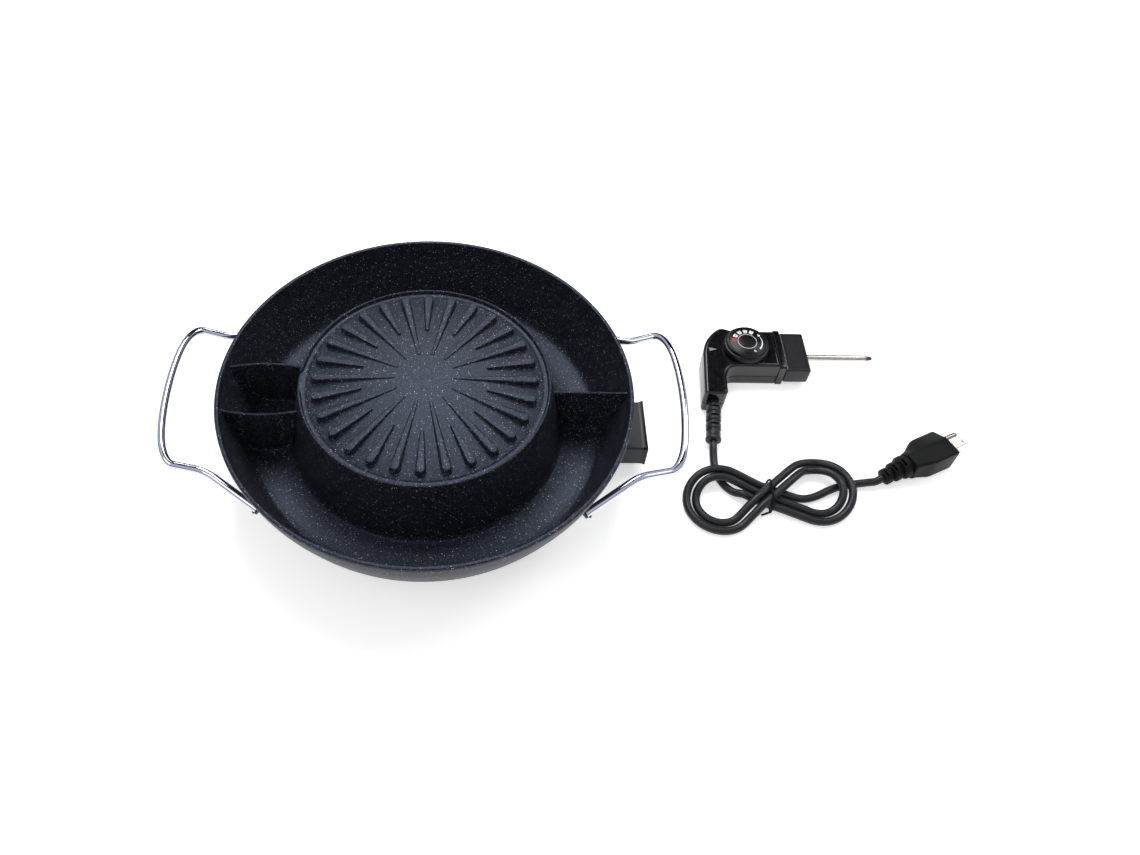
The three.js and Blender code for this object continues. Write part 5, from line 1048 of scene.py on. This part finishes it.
# Hidden and small pieces keep their CAD shape and get a finish.
keptFinishes = {"handle_set_screw": blackOxide, "heating_element": sheath, "pin_insulator": steatite,
                "earth_ring": nickel, "thermostat_base": steatite, **wireFinishes,
                **dict.fromkeys(("foot_screw", "heat_shield", "shield_screw", "housing_screw", "case_screw",
                                 "expansion_rod"), zinc),
                **dict.fromkeys(("contact_clip", "probe_nut", "thermostat_arm", "cam_spindle"), brass)}
for name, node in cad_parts.items():
    for start, finish in keptFinishes.items():
        if name.startswith(start):
            node.material_slots[0].material = finish
print("kept pieces finished")

# White paper below and three softboxes above, their sizes and places in metres.
room = {"floor": "#f4f4f5", "half": 6, "lift": 0.5, "ambient": 0.5, "dim": "#141417", "box": "#cfd1e2",
        "boxes": [("X", -0.2, -0.4), ("X", 0.58, 0.74), ("Y", -0.05, -0.25)], "boxLow": 0.2, "boxFull": 0.34}
lamps = [{"name": "softbox_rear", "place": (-0.12, 1.0, 1.65), "size": (0.85, 1.2), "watts": 27},
         {"name": "softbox_front_left", "place": (-0.9, -0.9, 1.5), "size": (1.2, 1.2), "watts": 6},
         {"name": "softbox_right", "place": (1.35, 0.75, 1.5), "size": (0.8, 0.8), "watts": 10}]
floorMesh = bpy.data.meshes.new("floor")
corners = [(x * room["half"], y * room["half"], 0) for x, y in ((-1, -1), (1, -1), (1, 1), (-1, 1))]
floorMesh.from_pydata(corners, [], [(0, 1, 2, 3)])
floor = bpy.data.objects.new("floor", floorMesh)
scene.collection.objects.link(floor)
paper = bpy.data.materials.new("matt_white_paper")
paper.use_nodes = True
paperTree = paper.node_tree
paperTree.nodes.clear()
rays = addNode(paperTree, "ShaderNodeLightPath")
seen = addNode(paperTree, "ShaderNodeMath",
               links={0: rays.outputs["Is Camera Ray"], 1: rays.outputs["Is Glossy Ray"]}, operation="ADD")
seenAll = addNode(paperTree, "ShaderNodeMath",
                  links={0: seen.outputs[0], 1: rays.outputs["Is Transmission Ray"]}, operation="ADD",
                  use_clamp=True)
lift = addNode(paperTree, "ShaderNodeMath", {1: room["lift"]}, {0: seenAll.outputs[0]}, operation="MULTIPLY")
matt = addNode(paperTree, "ShaderNodeBsdfDiffuse", {"Color": tone(room["floor"])})
glow = addNode(paperTree, "ShaderNodeEmission", {"Color": (1, 1, 1, 1)}, {"Strength": lift.outputs[0]})
both = addNode(paperTree, "ShaderNodeAddShader", links={0: matt.outputs[0], 1: glow.outputs[0]})
addNode(paperTree, "ShaderNodeOutputMaterial", links={"Surface": both.outputs[0]})
floorMesh.materials.append(paper)

world = bpy.data.worlds.new("studio")
scene.world = world
world.use_nodes = True
sky = world.node_tree
sky.nodes.clear()
rays = addNode(sky, "ShaderNodeLightPath")
# Mirrors and gloss see white softboxes to the left, to the right and in front, and a dim studio behind.
direction = addNode(sky, "ShaderNodeSeparateXYZ", links={
    "Vector": addNode(sky, "ShaderNodeTexCoord").outputs["Generated"]})
boxes = None
for axis, start, full in room["boxes"]:
    box = addNode(sky, "ShaderNodeMapRange", {"From Min": start, "From Max": full},
                  {"Value": direction.outputs[axis]}, interpolation_type="SMOOTHSTEP").outputs["Result"]
    boxes = box if boxes is None else addNode(sky, "ShaderNodeMath", links={0: boxes, 1: box},
                                              operation="MAXIMUM").outputs[0]
risen = addNode(sky, "ShaderNodeMapRange", {"From Min": room["boxLow"], "From Max": room["boxFull"]},
                {"Value": direction.outputs["Z"]}, interpolation_type="SMOOTHSTEP")
boxLight = addNode(sky, "ShaderNodeMath", links={0: boxes, 1: risen.outputs["Result"]}, operation="MULTIPLY")
ambient = addNode(sky, "ShaderNodeBackground", {"Color": (1, 1, 1, 1), "Strength": room["ambient"]})
mirrorTone = addNode(sky, "ShaderNodeMix", {6: tone(room["dim"]), 7: tone(room["box"])},
                     {0: boxLight.outputs[0]}, data_type="RGBA")
mirrored = addNode(sky, "ShaderNodeBackground", {"Strength": 1}, {"Color": mirrorTone.outputs[2]})
shown = addNode(sky, "ShaderNodeBackground", {"Color": (1, 1, 1, 1), "Strength": 1})
clear = addNode(sky, "ShaderNodeMath",
                links={0: rays.outputs["Is Camera Ray"], 1: rays.outputs["Is Transmission Ray"]},
                operation="ADD", use_clamp=True)
first = addNode(sky, "ShaderNodeMixShader", links={0: rays.outputs["Is Glossy Ray"], 1: ambient.outputs[0],
                                                   2: mirrored.outputs[0]})
second = addNode(sky, "ShaderNodeMixShader", links={0: clear.outputs[0], 1: first.outputs[0],
                                                    2: shown.outputs[0]})
addNode(sky, "ShaderNodeOutputWorld", links={"Surface": second.outputs[0]})

for lampLook in lamps:
    data = bpy.data.lights.new(lampLook["name"], "AREA")
    data.shape = "RECTANGLE"
    data.size, data.size_y = lampLook["size"]
    data.energy = lampLook["watts"]
    lamp = bpy.data.objects.new(lampLook["name"], data)
    scene.collection.objects.link(lamp)
    lamp.location = lampLook["place"]
    lamp.rotation_mode = "QUATERNION"
    lamp.rotation_quaternion = (-Vector(lampLook["place"])).to_track_quat("-Z", "Y")
scene.view_settings.view_transform = "Standard"
print("lit")
